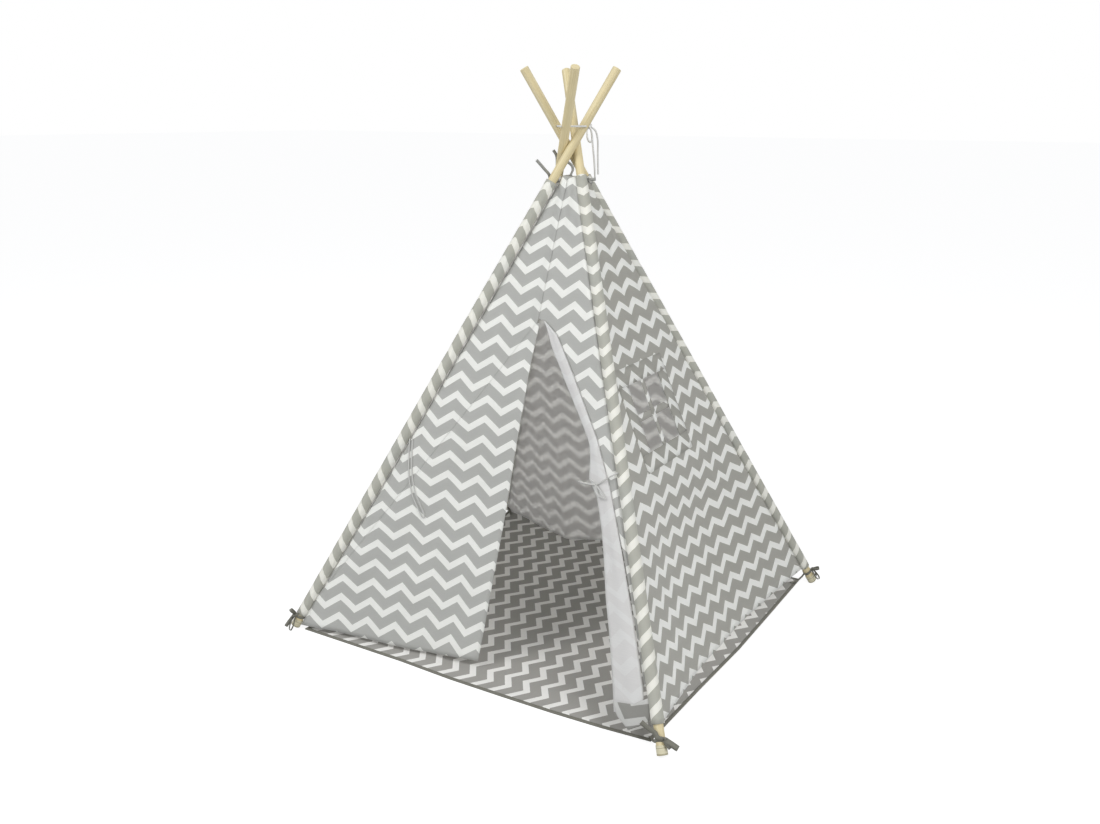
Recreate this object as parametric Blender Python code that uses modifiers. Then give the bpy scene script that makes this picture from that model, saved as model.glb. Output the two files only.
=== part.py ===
"""Play tent for children: four crossed wooden poles, a printed cotton cover with a door
and a window, and a floor mat. Metres, +Z up, the door faces -Y, the origin is on the
floor under the crossing of the poles."""
import math

import bmesh
import bpy
import numpy as np
from mathutils import Matrix, Vector

MM = 0.001

# Frame of poles: half width and half depth at the feet, height of the crossing
HALF_X = 590.0 * MM
HALF_Y = 547.0 * MM
CROSS_Z = 1343.6 * MM
POLE_LENGTH = 1800.0 * MM
POLE_R = 12.0 * MM
POLE_CHAMFER = 1.2 * MM
NEST_OFFSET = 19.7 * MM
SECTION_LENGTH = 600.0 * MM
GAP = 0.3 * MM
ROUND_STEPS = 24
HIDDEN_STEPS = 16
SMOOTH_DEGREES = 38.0

# Foot caps and ferrules
CAP_START = 7.5 * MM
CAP_END = 30.5 * MM
CAP_FLOOR = 2.0 * MM
CAP_OUT_R = 13.3 * MM
SOCKET_R = 12.35 * MM
CAP_CHAMFER = 0.8 * MM
FERRULE_HALF = 40.0 * MM
FERRULE_OUT_R = 13.4 * MM

# Cloth
CLOTH = 1.5 * MM
SLEEVE_IN_R = 14.0 * MM
SLEEVE_OUT_R = 15.8 * MM
SEAM_R = 16.8 * MM
SLEEVE_RISE = 2.9 * MM
SLEEVE_BOTTOM = {"fl": 48.0 * MM, "fr": 78.0 * MM, "br": 66.0 * MM, "bl": 60.0 * MM}
COVER_TOP_Z = 1250.0 * MM

# Front: overlap of the two halves, slit, strips beside the door
OVERLAP_LEFT_X = 14.0 * MM
OVERLAP_RIGHT_X = -8.0 * MM
OVERLAP_LIFT = 2.7 * MM
OVERLAP_FROM_X = -95.0 * MM
OVERLAP_RUN = 75.0 * MM
SLIT_Z = 900.0 * MM
STRIP_LEFT_FOOT = (-0.8712 * HALF_X, 122.0 * MM)
STRIP_GAP = 0.45 * MM
HINGE_LEFT_TOP_X = 14.0 * MM
STRIP_RIGHT_LINE = (
    (900.0 * MM, 0.0712 * HALF_X), (876.0 * MM, 0.1339 * HALF_X), (787.0 * MM, 0.2576 * HALF_X),
    (646.0 * MM, 0.4373 * HALF_X), (538.0 * MM, 0.5458 * HALF_X), (391.0 * MM, 0.6678 * HALF_X),
    (229.0 * MM, 0.7932 * HALF_X), (134.0 * MM, 0.8610 * HALF_X), (46.0 * MM, 0.9153 * HALF_X))
STRIP_RIGHT_FOOT_Z = 134.0 * MM

# Left half of the door, hanging closed
FLAP_LEFT_TOP_Z = 886.0 * MM
FLAP_LEFT_EDGE = (
    (900.0 * MM, 20.0 * MM), (700.0 * MM, 17.0 * MM), (510.0 * MM, 10.0 * MM),
    (219.0 * MM, 0.0 * MM), (60.0 * MM, -5.0 * MM))
FLAP_LEFT_HEM = (
    (-0.9746 * HALF_X, 12.0 * MM), (-0.7746 * HALF_X, 21.5 * MM), (-0.3525 * HALF_X, 33.0 * MM),
    (0.0, 54.0 * MM))
FLAP_LEFT_FOLD = 5.0 * MM
FLAP_LEFT_FALL = 0.155
FLAP_FALL_TOP_Z = 950.0 * MM
FLAP_FALL_RUN_Z = 550.0 * MM
FLAP_FALL_START = 120.0 * MM
FLAP_LEFT_AXIS_LIFT = 4.4 * MM

# Right half of the door, folded back and tied beside the pole
FOLD_WIDTH = (
    (868.0 * MM, 9.0 * MM), (828.0 * MM, 28.0 * MM), (740.0 * MM, 34.0 * MM),
    (660.0 * MM, 33.0 * MM), (600.0 * MM, 27.0 * MM), (545.0 * MM, 38.0 * MM),
    (391.0 * MM, 50.0 * MM), (229.0 * MM, 70.0 * MM), (112.0 * MM, 84.0 * MM),
    (46.0 * MM, 88.0 * MM))
FOLD_DEPTH = (
    (868.0 * MM, 3.0 * MM), (740.0 * MM, 6.0 * MM), (600.0 * MM, 8.0 * MM),
    (391.0 * MM, 8.0 * MM), (112.0 * MM, 9.0 * MM), (46.0 * MM, 6.5 * MM))
FOLD_TOP_Z = 868.0 * MM
FOLD_FOOT_Z = 46.0 * MM
FOLD_BACK_LIFT = 1.2 * MM
FOLD_EDGE_DEPTH = 2.2 * MM
FOLD_PLEAT = 1.3 * MM
FOLD_LINE_GAP = 0.5 * MM
FOLD_AXIS_LIFT = 9.0 * MM

# Hems and folds of the other sides
HEM_RIGHT_Z = 58.0 * MM
HEM_LEFT_Z = 52.0 * MM
HEM_BACK = (
    (-0.9831 * HALF_X, 42.0 * MM), (-0.7119 * HALF_X, 16.0 * MM), (-0.4186 * HALF_X, 9.0 * MM),
    (-0.1695 * HALF_X, 12.0 * MM), (0.3390 * HALF_X, 36.0 * MM), (0.9831 * HALF_X, 50.0 * MM))
BACK_DRAPE = (
    (-0.9153 * HALF_X, 0.0), (-0.6780 * HALF_X, 52.0 * MM), (-0.4186 * HALF_X, 126.0 * MM),
    (-0.2424 * HALF_X, 74.0 * MM), (0.1017 * HALF_X, 24.0 * MM), (0.5085 * HALF_X, 10.0 * MM),
    (0.9068 * HALF_X, 0.0))
BACK_DRAPE_Z = 640.0 * MM
FOLD_RIGHT = 5.0 * MM
FOLD_LEFT = 9.0 * MM
FOLD_BACK = 7.0 * MM

# How far the middle of each side sags inwards at a height
SAG_RIGHT = (
    (58.0 * MM, 50.0 * MM), (280.0 * MM, 50.0 * MM), (450.0 * MM, 36.0 * MM),
    (610.0 * MM, 16.0 * MM), (1000.0 * MM, 10.0 * MM), (1250.0 * MM, 2.0 * MM))
SAG_LEFT = (
    (52.0 * MM, 38.0 * MM), (300.0 * MM, 40.0 * MM), (600.0 * MM, 26.0 * MM),
    (1000.0 * MM, 10.0 * MM), (1250.0 * MM, 2.0 * MM))
SAG_BACK = (
    (40.0 * MM, 12.0 * MM), (300.0 * MM, 26.0 * MM), (600.0 * MM, 28.0 * MM),
    (1000.0 * MM, 10.0 * MM), (1250.0 * MM, 2.0 * MM))

# Window in the right side
WINDOW_Y = -49.0 * MM
WINDOW_Z = 668.0 * MM
WINDOW_WIDE = 178.0 * MM
WINDOW_HIGH = 186.0 * MM
FRAME_STRIP = 46.0 * MM
FRAME_OVERHANG = 1.5 * MM
FRAME_THICK = 1.2 * MM
CROSS_STRAP = 20.0 * MM
CROSS_TUCK = 14.0 * MM
CROSS_THICK = 1.2 * MM
WINDOW_FLAT = 175.0 * MM

# Floor mat
MAT_THICK = 3.0 * MM
MAT_OUTLINE = (
    (-0.9373 * HALF_X, -0.9890 * HALF_Y), (-0.3525 * HALF_X, -0.9744 * HALF_Y),
    (-0.0576 * HALF_X, -0.9799 * HALF_Y), (0.2102 * HALF_X, -0.9726 * HALF_Y),
    (0.4576 * HALF_X, -0.9634 * HALF_Y), (0.6898 * HALF_X, -0.9470 * HALF_Y),
    (0.9102 * HALF_X, -0.9214 * HALF_Y), (0.9136 * HALF_X, -0.7514 * HALF_Y),
    (0.9203 * HALF_X, -0.4223 * HALF_Y), (0.9356 * HALF_X, 0.0311 * HALF_Y),
    (0.9339 * HALF_X, 0.4753 * HALF_Y), (0.9305 * HALF_X, 0.9854 * HALF_Y),
    (0.4407 * HALF_X, 0.9653 * HALF_Y), (0.0, 0.9616 * HALF_Y),
    (-0.4746 * HALF_X, 0.9671 * HALF_Y), (-0.9339 * HALF_X, 0.9872 * HALF_Y),
    (-0.9203 * HALF_X, 0.4936 * HALF_Y), (-0.9169 * HALF_X, 0.0),
    (-0.9220 * HALF_X, -0.4936 * HALF_Y))
BINDING_WIDE = 9.0 * MM
BINDING_THICK = 4.2 * MM

# Ribbon ties
RIBBON_WIDE = 8.0 * MM
RIBBON_THICK = 1.0 * MM
RIBBON_RING_OUT_R = 13.6 * MM
RIBBON_KNOT_R = 5.2 * MM
CORNER_TIE_S = {"fl": 41.0 * MM, "fr": 42.0 * MM, "br": 46.0 * MM, "bl": 42.0 * MM}
TOP_TIE_RISE = 12.0 * MM

# Rope through the poles
ROPE_R = 2.5 * MM
ROPE_HOLE_R = 2.95 * MM
ROPE_RISE = 63.8 * MM
ROPE_STRAIGHT = 17.0 * MM
KNOT_BESIDE_POLE = (-3.0 * MM, 33.75 * MM, 0.0)
KNOT_R = 7.5 * MM

# Door cords
CORD_R = 1.8 * MM

SIDES = {"fl": (-1, -1), "fr": (1, -1), "br": (1, 1), "bl": (-1, 1)}


def clear_scene():
    for obj in list(bpy.data.objects):
        bpy.data.objects.remove(obj, do_unlink=True)


clear_scene()
scene = bpy.context.scene
tent = bpy.data.collections.new("kids_teepee")
cutters = bpy.data.collections.new("cutters")
scene.collection.children.link(tent)
scene.collection.children.link(cutters)


def finish(name, colour, roughness):
    material = bpy.data.materials.new(name)
    material.use_nodes = True
    shader = material.node_tree.nodes["Principled BSDF"]
    shader.inputs["Base Color"].default_value = (*colour, 1.0)
    shader.inputs["Roughness"].default_value = roughness
    return material


COLOURS = {
    "wood": ((0.80, 0.72, 0.43), 0.55),
    "cap": ((0.78, 0.72, 0.48), 0.45),
    "metal": ((0.55, 0.55, 0.55), 0.35),
    "print": ((0.41, 0.41, 0.38), 0.9),
    "lining": ((0.65, 0.65, 0.63), 0.9),
    "mat": ((0.20, 0.20, 0.18), 0.95),
    "binding": ((0.19, 0.18, 0.15), 0.9),
    "ribbon": ((0.20, 0.19, 0.16), 0.85),
    "rope": ((0.85, 0.85, 0.83), 0.85),
}


def keep(obj, name, kind, smooth=False):
    """Name the object, give it its own material and put it in the tent's collection."""
    for collection in list(obj.users_collection):
        collection.objects.unlink(obj)
    tent.objects.link(obj)
    obj.name = name
    obj.data.name = name
    colour, roughness = COLOURS[kind]
    obj.data.materials.clear()
    obj.data.materials.append(finish(name + "_material", colour, roughness))
    if smooth:
        for polygon in obj.data.polygons:
            polygon.use_smooth = True
        obj.data.set_sharp_from_angle(angle=math.radians(SMOOTH_DEGREES))
    return obj


def helper(obj, name):
    for collection in list(obj.users_collection):
        collection.objects.unlink(obj)
    cutters.objects.link(obj)
    obj.name = name
    obj.hide_render = True
    obj.display_type = "WIRE"
    return obj


def mesh_object(name, points, faces):
    mesh = bpy.data.meshes.new(name)
    mesh.from_pydata([tuple(p) for p in points], [], faces)
    mesh.update()
    obj = bpy.data.objects.new(name, mesh)
    scene.collection.objects.link(obj)
    return obj


def evaluated(obj):
    """The object's shape as one plain mesh, with its modifiers carried out."""
    bpy.context.view_layer.update()
    graph = bpy.context.evaluated_depsgraph_get()
    mesh = bpy.data.meshes.new_from_object(obj.evaluated_get(graph))
    work = bmesh.new()
    work.from_mesh(mesh)
    bmesh.ops.remove_doubles(work, verts=work.verts, dist=MM / 200)
    bmesh.ops.recalc_face_normals(work, faces=work.faces)
    work.to_mesh(mesh)
    work.free()
    return mesh


def plain(obj, name):
    """Replace a curve or a modified object by the plain mesh of its shape."""
    mesh = evaluated(obj)
    mesh.transform(obj.matrix_world)
    bpy.data.objects.remove(obj, do_unlink=True)
    result = bpy.data.objects.new(name, mesh)
    scene.collection.objects.link(result)
    return result


def boolean(target, tool, operation):
    """Carry out an exact Boolean on the target; the tool is kept as a cutter."""
    modifier = target.modifiers.new(operation.lower(), "BOOLEAN")
    modifier.operation = operation
    modifier.solver = "EXACT"
    modifier.object = tool
    mesh = evaluated(target)
    target.modifiers.clear()
    target.data = mesh
    helper(tool, tool.name)
    return target


def joined(name, bodies):
    target = bodies[0]
    for body in bodies[1:]:
        boolean(target, body, "UNION")
    target.name = name
    return target


def turned(name, profile, placing, steps=ROUND_STEPS, ring=False):
    """Turn a profile of (radius, height) points about Z with Screw, then place it."""
    count = len(profile)
    points = [(r, 0.0, z) for r, z in profile]
    mesh = bpy.data.meshes.new(name)
    edges = [(i, i + 1) for i in range(count - 1)]
    if ring:
        edges.append((count - 1, 0))
    mesh.from_pydata(points, edges, [])
    obj = bpy.data.objects.new(name, mesh)
    scene.collection.objects.link(obj)
    screw = obj.modifiers.new("turn", "SCREW")
    screw.steps = steps
    screw.render_steps = steps
    screw.use_merge_vertices = True
    screw.merge_threshold = MM / 100
    screw.use_smooth_shade = False
    turned_mesh = evaluated(obj)
    turned_mesh.transform(placing)
    bpy.data.objects.remove(obj, do_unlink=True)
    result = bpy.data.objects.new(name, turned_mesh)
    scene.collection.objects.link(result)
    return result


def rod_profile(radius, low, high, chamfer):
    return [(0.0, high), (radius - chamfer, high), (radius, high - chamfer),
            (radius, low + chamfer), (radius - chamfer, low), (0.0, low)]


def tube_profile(outer, inner, low, high):
    return [(outer, high), (outer, low), (inner, low), (inner, high)]


def along(table, value):
    """Read a table of (position, size) pairs at a position, in straight steps."""
    ordered = sorted(table)
    return float(np.interp(value, [p for p, s in ordered], [s for p, s in ordered]))


def smooth_step(value):
    value = min(1.0, max(0.0, value))
    return value * value * (3.0 - 2.0 * value)


# Poles: each passes the crossing height beside the centre, so the four nest in a spiral


class Pole:
    def __init__(self, corner):
        sign_x, sign_y = SIDES[corner]
        self.corner = corner
        self.foot = Vector((sign_x * HALF_X, sign_y * HALF_Y, 0.0))
        self.inward = Vector((-self.foot.x, -self.foot.y, 0.0)).normalized()
        self.side = Vector((-self.inward.y, self.inward.x, 0.0))
        self.hub = Vector((0.0, 0.0, CROSS_Z)) - self.side * NEST_OFFSET
        run = self.hub - self.foot
        self.reach = run.length
        self.axis = run.normalized()
        self.outward = (-self.inward + self.axis * self.inward.dot(self.axis)).normalized()
        self.sleeve_top = COVER_TOP_Z / self.axis.z + SLEEVE_RISE

    def at(self, s, out=0.0, side=0.0):
        """A point beside the pole: s along it, out away from the tent, side around it."""
        return self.foot + self.axis * s + self.outward * out + self.side * side

    def placing(self):
        turn = Matrix((self.side, self.axis.cross(self.side), self.axis)).transposed()
        return Matrix.Translation(self.foot) @ turn.to_4x4()


poles = {corner: Pole(corner) for corner in SIDES}


def hole_cutter(pole):
    mesh = bpy.data.meshes.new("hole_" + pole.corner)
    work = bmesh.new()
    bmesh.ops.create_cone(work, cap_ends=True, segments=16, radius1=ROPE_HOLE_R,
                          radius2=ROPE_HOLE_R, depth=POLE_R * 4)
    work.to_mesh(mesh)
    work.free()
    turn = Vector((0.0, 0.0, 1.0)).rotation_difference(pole.side).to_matrix().to_4x4()
    mesh.transform(Matrix.Translation(pole.at(pole.reach + ROPE_RISE)) @ turn)
    obj = bpy.data.objects.new("hole_" + pole.corner, mesh)
    scene.collection.objects.link(obj)
    return obj


def build_pole(pole):
    start = CAP_START + CAP_FLOOR + GAP
    spans = (("lower", start, SECTION_LENGTH - GAP / 2),
             ("middle", SECTION_LENGTH + GAP / 2, SECTION_LENGTH * 2 - GAP / 2),
             ("upper", SECTION_LENGTH * 2 + GAP / 2, POLE_LENGTH))
    for part, low, high in spans:
        name = "pole_%s_%s" % (pole.corner, part)
        rod = turned(name, rod_profile(POLE_R, low, high, POLE_CHAMFER), pole.placing())
        if part == "upper":
            boolean(rod, hole_cutter(pole), "DIFFERENCE")
        keep(rod, name, "wood", smooth=True)
    for number in (1, 2):
        middle = SECTION_LENGTH * number
        name = "ferrule_%s_%s" % (pole.corner, ("low", "high")[number - 1])
        ferrule = turned(name, tube_profile(FERRULE_OUT_R, SOCKET_R, middle - FERRULE_HALF,
                                            middle + FERRULE_HALF), pole.placing(),
                         steps=HIDDEN_STEPS, ring=True)
        keep(ferrule, name, "metal", smooth=True)
    cap = [(0.0, CAP_START + CAP_FLOOR), (SOCKET_R, CAP_START + CAP_FLOOR),
           (SOCKET_R, CAP_END), (CAP_OUT_R, CAP_END), (CAP_OUT_R, CAP_START + CAP_CHAMFER),
           (CAP_OUT_R - CAP_CHAMFER, CAP_START), (0.0, CAP_START)]
    name = "foot_cap_" + pole.corner
    keep(turned(name, cap, pole.placing()), name, "cap", smooth=True)
    name = "cover_sleeve_" + pole.corner
    sleeve = turned(name, tube_profile(SLEEVE_OUT_R, SLEEVE_IN_R, SLEEVE_BOTTOM[pole.corner],
                                       pole.sleeve_top), pole.placing(), ring=True)
    keep(sleeve, name, "print", smooth=True)


for pole in poles.values():
    build_pole(pole)


# Cloth sides: each lies in the plane through the crossing and its edge of the floor


class Side:
    def __init__(self, across, away, half, left, right):
        lean = math.atan2(half, CROSS_Z)
        up = Vector((0.0, 0.0, 1.0))
        self.across = Vector(across)
        self.away = Vector(away)
        self.down = self.away * math.sin(lean) - up * math.cos(lean)
        self.out = self.away * math.cos(lean) + up * math.sin(lean)
        self.slope = math.cos(lean)
        self.left = poles[left]
        self.right = poles[right]

    def point(self, x, z, lift=0.0, pull=0.0):
        """x across the side, z height of the plane there, lift off it, pull level inwards."""
        return (Vector((0.0, 0.0, CROSS_Z)) + self.across * x
                + self.down * ((CROSS_Z - z) / self.slope) + self.out * lift - self.away * pull)

    def edge(self, pole, z, radius):
        """Where the side meets the round of a pole's sleeve, seen from the middle."""
        start = self.point(0.0, z) - pole.foot
        flat = start - pole.axis * start.dot(pole.axis)
        step = self.across - pole.axis * self.across.dot(pole.axis)
        a = step.dot(step)
        b = 2.0 * flat.dot(step)
        c = flat.dot(flat) - radius * radius
        root = math.sqrt(b * b - 4.0 * a * c)
        ends = ((-b - root) / (2.0 * a), (-b + root) / (2.0 * a))
        return min(ends, key=abs)

    def left_edge(self, z):
        return self.edge(self.left, z, SEAM_R)

    def right_edge(self, z):
        return self.edge(self.right, z, SEAM_R)


front = Side((1, 0, 0), (0, -1, 0), HALF_Y, "fl", "fr")
right = Side((0, 1, 0), (1, 0, 0), HALF_X, "fr", "br")
back = Side((1, 0, 0), (0, 1, 0), HALF_Y, "bl", "br")
left = Side((0, 1, 0), (-1, 0, 0), HALF_X, "fl", "bl")


def spread(first, last, count):
    return [first + (last - first) * i / count for i in range(count + 1)]


def cloth(name, side, levels, hem, left_edge, right_edge, shape, columns, thick=CLOTH):
    """Lay a grid of cloth on a side. Levels are shares from the top to the hem or heights;
    shape gives the lift and pull at (x, z, share across)."""
    rows = []
    top = levels[0]
    last = levels[-1]
    for level in levels:
        row = []
        share_down = (top - level) / (top - last)
        for j in range(columns + 1):
            share = j / columns
            z = level
            for _ in range(6):
                x = left_edge(z) + (right_edge(z) - left_edge(z)) * share
                z = level + (hem(x) - last) * share_down ** HEM_POWER
            lift, pull = shape(x, z, share)
            row.append(side.point(x, z, lift, pull))
        rows.append(row)
    points = [p for row in rows for p in row]
    wide = columns + 1
    faces = []
    for i in range(len(rows) - 1):
        for j in range(columns):
            a = i * wide + j
            faces.append((a, a + wide, a + wide + 1, a + 1))
    obj = mesh_object(name, points, faces)
    solid = obj.modifiers.new("thickness", "SOLIDIFY")
    solid.thickness = thick
    solid.offset = 0.0
    solid.use_rim = True
    return plain(obj, name)


HEM_POWER = 2.0


def overlap_lift(x):
    return OVERLAP_LIFT * smooth_step((x - OVERLAP_FROM_X) / OVERLAP_RUN)


def ridge(share, count, phase=0.0):
    """Soft upright folds across a side, from 0 to 1, flat at both sleeves."""
    wave = 0.5 - 0.5 * math.cos(2.0 * math.pi * (share * count + phase))
    return wave * smooth_step(share / 0.2) * smooth_step((1.0 - share) / 0.2)


# Front, left half: from the sleeve to the middle, and the strip beside the door


def strip_left_x(z):
    foot_x, foot_z = STRIP_LEFT_FOOT
    return HINGE_LEFT_TOP_X + (foot_x - HINGE_LEFT_TOP_X) * (SLIT_Z - z) / (SLIT_Z - foot_z)


def front_left_inner(z):
    return OVERLAP_LEFT_X if z >= SLIT_Z else strip_left_x(z) - STRIP_GAP


keep(cloth("cover_front_left", front,
           spread(COVER_TOP_Z, SLIT_Z, 7) + spread(SLIT_Z, STRIP_LEFT_FOOT[1], 14)[1:],
           lambda x: STRIP_LEFT_FOOT[1], front.left_edge, front_left_inner,
           lambda x, z, share: (overlap_lift(x) * smooth_step(share / 0.28), 0.0), 7),
     "cover_front_left", "print", smooth=True)


# Front, right half: its inner edge is where the tied door half begins


def strip_right_x(z):
    return along(STRIP_RIGHT_LINE, z)


def front_right_inner(z):
    return OVERLAP_RIGHT_X if z >= SLIT_Z else strip_right_x(z)


right_levels = [z for z, x in STRIP_RIGHT_LINE[1:-1]]
between = [(a + b) / 2 for a, b in zip(right_levels, right_levels[1:])]
right_levels = sorted(right_levels + between, reverse=True)
keep(cloth("cover_front_right", front, spread(COVER_TOP_Z, SLIT_Z, 7) + right_levels,
           lambda x: STRIP_RIGHT_FOOT_Z, front_right_inner, front.right_edge,
           lambda x, z, share: (0.0, 0.0), 8),
     "cover_front_right", "print", smooth=True)


# Door, left half: hangs closed from the strip's slanting edge


def flap_left_outer(z):
    foot_z = STRIP_LEFT_FOOT[1]
    line = strip_left_x(z) + STRIP_GAP
    return line if z >= foot_z else max(line, front.left_edge(z))


def flap_fall(x, z):
    """How far the hanging half falls inwards from the plane of the side."""
    reach = max(0.0, x - flap_left_outer(z))
    steep = FLAP_LEFT_FALL * smooth_step((FLAP_FALL_TOP_Z - z) / FLAP_FALL_RUN_Z)
    return steep * reach * smooth_step(reach / FLAP_FALL_START)


def flap_left_shape(x, z, share):
    fade = smooth_step((share - FLAP_FLAT_SHARE) / FLAP_FLAT_SHARE)
    low = smooth_step((FLAP_FOLD_TOP_Z - z) / FLAP_FOLD_TOP_Z)
    wave = 0.5 - 0.5 * math.cos(2.0 * math.pi * (share * 2.5 + 0.25))
    return overlap_lift(x) + FLAP_LEFT_FOLD * wave * fade * low - flap_fall(x, z), 0.0


FLAP_FLAT_SHARE = 0.32
FLAP_FOLD_TOP_Z = 760.0 * MM
keep(cloth("door_flap_left", front, spread(FLAP_LEFT_TOP_Z, FLAP_LEFT_HEM[-1][1], 18),
           lambda x: along(FLAP_LEFT_HEM, x), flap_left_outer,
           lambda z: along(FLAP_LEFT_EDGE, z), flap_left_shape, 16),
     "door_flap_left", "print", smooth=True)


# Door, right half: a bundle that widens downwards, its reverse outwards


def fold_outer(z):
    return min(strip_right_x(z), front.right_edge(z) - FOLD_LINE_GAP) - FOLD_LINE_GAP


def bundle(name):
    rows = 22
    shares = [0.0, 0.08, 0.2, 0.34, 0.48, 0.62, 0.76, 0.9, 1.0]
    points = []
    ring = len(shares) * 2
    for z in spread(FOLD_TOP_Z, FOLD_FOOT_Z, rows):
        outer = fold_outer(z)
        width = along(FOLD_WIDTH, z)
        depth = along(FOLD_DEPTH, z)
        for share in shares:
            crown = math.sin(math.pi * share) ** 0.6
            pleat = FOLD_PLEAT * math.sin(3.0 * math.pi * share) * crown * min(1.0, width / (60 * MM))
            lift = FOLD_BACK_LIFT + FOLD_EDGE_DEPTH + depth * crown * 0.7 + pleat
            points.append(front.point(outer - width * share, z, lift))
        for share in reversed(shares):
            points.append(front.point(outer - width * share, z, FOLD_BACK_LIFT))
    faces = []
    for i in range(rows):
        for j in range(ring):
            a = i * ring + j
            b = i * ring + (j + 1) % ring
            faces.append((a, b, b + ring, a + ring))
    faces.append(tuple(range(ring)))
    faces.append(tuple(reversed(range(rows * ring, (rows + 1) * ring))))
    return plain(mesh_object(name, points, faces), name)


keep(bundle("door_flap_right"), "door_flap_right", "lining", smooth=True)


# Left, back and right sides


def sag(table, z, share):
    return along(table, z) * (1.0 - (2.0 * share - 1.0) ** 2)


def left_shape(y, z, share):
    low = smooth_step((COVER_TOP_Z - z) / COVER_TOP_Z)
    return FOLD_LEFT * ridge(share, 3.0, 0.2) * low - sag(SAG_LEFT, z, share), 0.0


keep(cloth("cover_left", left, spread(COVER_TOP_Z, HEM_LEFT_Z, 15), lambda y: HEM_LEFT_Z,
           left.left_edge, left.right_edge, left_shape, 15),
     "cover_left", "print", smooth=True)


def back_shape(x, z, share):
    low = max(0.0, (BACK_DRAPE_Z - z) / BACK_DRAPE_Z) ** 1.7
    fold = FOLD_BACK * ridge(share, 4.0, 0.3) * smooth_step((COVER_TOP_Z - z) / COVER_TOP_Z)
    at_sleeves = smooth_step(share / 0.15) * smooth_step((1.0 - share) / 0.15)
    return fold - sag(SAG_BACK, z, share), along(BACK_DRAPE, x) * low * at_sleeves


keep(cloth("cover_back", back, spread(COVER_TOP_Z, HEM_BACK[0][1], 17),
           lambda x: along(HEM_BACK, x), back.left_edge, back.right_edge, back_shape, 18),
     "cover_back", "print", smooth=True)


def right_shape(y, z, share):
    near_window = max(abs(y - WINDOW_Y) - WINDOW_WIDE / 2 - FRAME_STRIP,
                      abs(z - WINDOW_Z) - WINDOW_HIGH / 2 - FRAME_STRIP)
    free = smooth_step(near_window / WINDOW_FLAT)
    return (FOLD_RIGHT * ridge(share, 3.0, 0.15) - sag(SAG_RIGHT, z, share)) * free, 0.0


def on_right(y, z, lift):
    return right.point(y, z, lift)


def right_placing(lift):
    """Local x across, y up the slope, z outwards, at the middle of the window."""
    turn = Matrix((right.across, -right.down, right.out)).transposed().to_4x4()
    return Matrix.Translation(on_right(WINDOW_Y, WINDOW_Z, lift)) @ turn


def flat_shape(name, outlines, thick, placing):
    """A flat plate from closed outlines; an inner outline is a hole."""
    curve = bpy.data.curves.new(name, "CURVE")
    curve.dimensions = "2D"
    curve.fill_mode = "BOTH"
    curve.extrude = thick / 2
    for outline in outlines:
        spline = curve.splines.new("POLY")
        spline.points.add(len(outline) - 1)
        for point, (x, y) in zip(spline.points, outline):
            point.co = (x, y, 0.0, 1.0)
        spline.use_cyclic_u = True
    obj = bpy.data.objects.new(name, curve)
    scene.collection.objects.link(obj)
    mesh = evaluated(obj)
    bpy.data.objects.remove(obj, do_unlink=True)
    mesh.transform(placing)
    result = bpy.data.objects.new(name, mesh)
    scene.collection.objects.link(result)
    return result


def box_outline(half_x, half_y):
    return [(-half_x, -half_y), (half_x, -half_y), (half_x, half_y), (-half_x, half_y)]


cover_right = cloth("cover_right", right, spread(COVER_TOP_Z, HEM_RIGHT_Z, 16),
                    lambda y: HEM_RIGHT_Z, right.left_edge, right.right_edge, right_shape, 16)
opening = flat_shape("window_opening", [box_outline(WINDOW_WIDE / 2, WINDOW_HIGH / 2)],
                     CLOTH * 12, right_placing(0.0))
boolean(cover_right, opening, "DIFFERENCE")
keep(cover_right, "cover_right", "print", smooth=True)

frame_lift = CLOTH / 2 + GAP + FRAME_THICK / 2
keep(flat_shape("window_frame",
                [box_outline(WINDOW_WIDE / 2 + FRAME_STRIP, WINDOW_HIGH / 2 + FRAME_STRIP),
                 box_outline(WINDOW_WIDE / 2 - FRAME_OVERHANG, WINDOW_HIGH / 2 - FRAME_OVERHANG)],
                FRAME_THICK, right_placing(frame_lift)), "window_frame", "print")


def cross_outline():
    wide = WINDOW_WIDE / 2 + CROSS_TUCK
    high = WINDOW_HIGH / 2 + CROSS_TUCK
    half = CROSS_STRAP / 2
    return [(half, high), (-half, high), (-half, half), (-wide, half), (-wide, -half),
            (-half, -half), (-half, -high), (half, -high), (half, -half), (wide, -half),
            (wide, half), (half, half)]


cross_lift = -(CLOTH / 2 + GAP + CROSS_THICK / 2)
keep(flat_shape("window_cross", [cross_outline()], CROSS_THICK, right_placing(cross_lift)),
     "window_cross", "print")


# Floor mat and the binding round its edge


def inset(outline, distance):
    count = len(outline)
    result = []
    for i in range(count):
        before = Vector(outline[i - 1])
        here = Vector(outline[i])
        after = Vector(outline[(i + 1) % count])
        first = (here - before).normalized()
        second = (after - here).normalized()
        normal = (Vector((-first.y, first.x)) + Vector((-second.y, second.x))).normalized()
        scale = distance / max(0.3, normal.dot(Vector((-first.y, first.x))))
        result.append(tuple(here + normal * scale))
    return result


keep(flat_shape("floor_mat", [inset(MAT_OUTLINE, BINDING_WIDE + GAP)], MAT_THICK,
                Matrix.Translation((0.0, 0.0, MAT_THICK / 2))), "floor_mat", "mat")
keep(flat_shape("mat_binding", [MAT_OUTLINE, inset(MAT_OUTLINE, BINDING_WIDE)], BINDING_THICK,
                Matrix.Translation((0.0, 0.0, BINDING_THICK / 2))), "mat_binding", "binding")


# Ribbons


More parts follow.
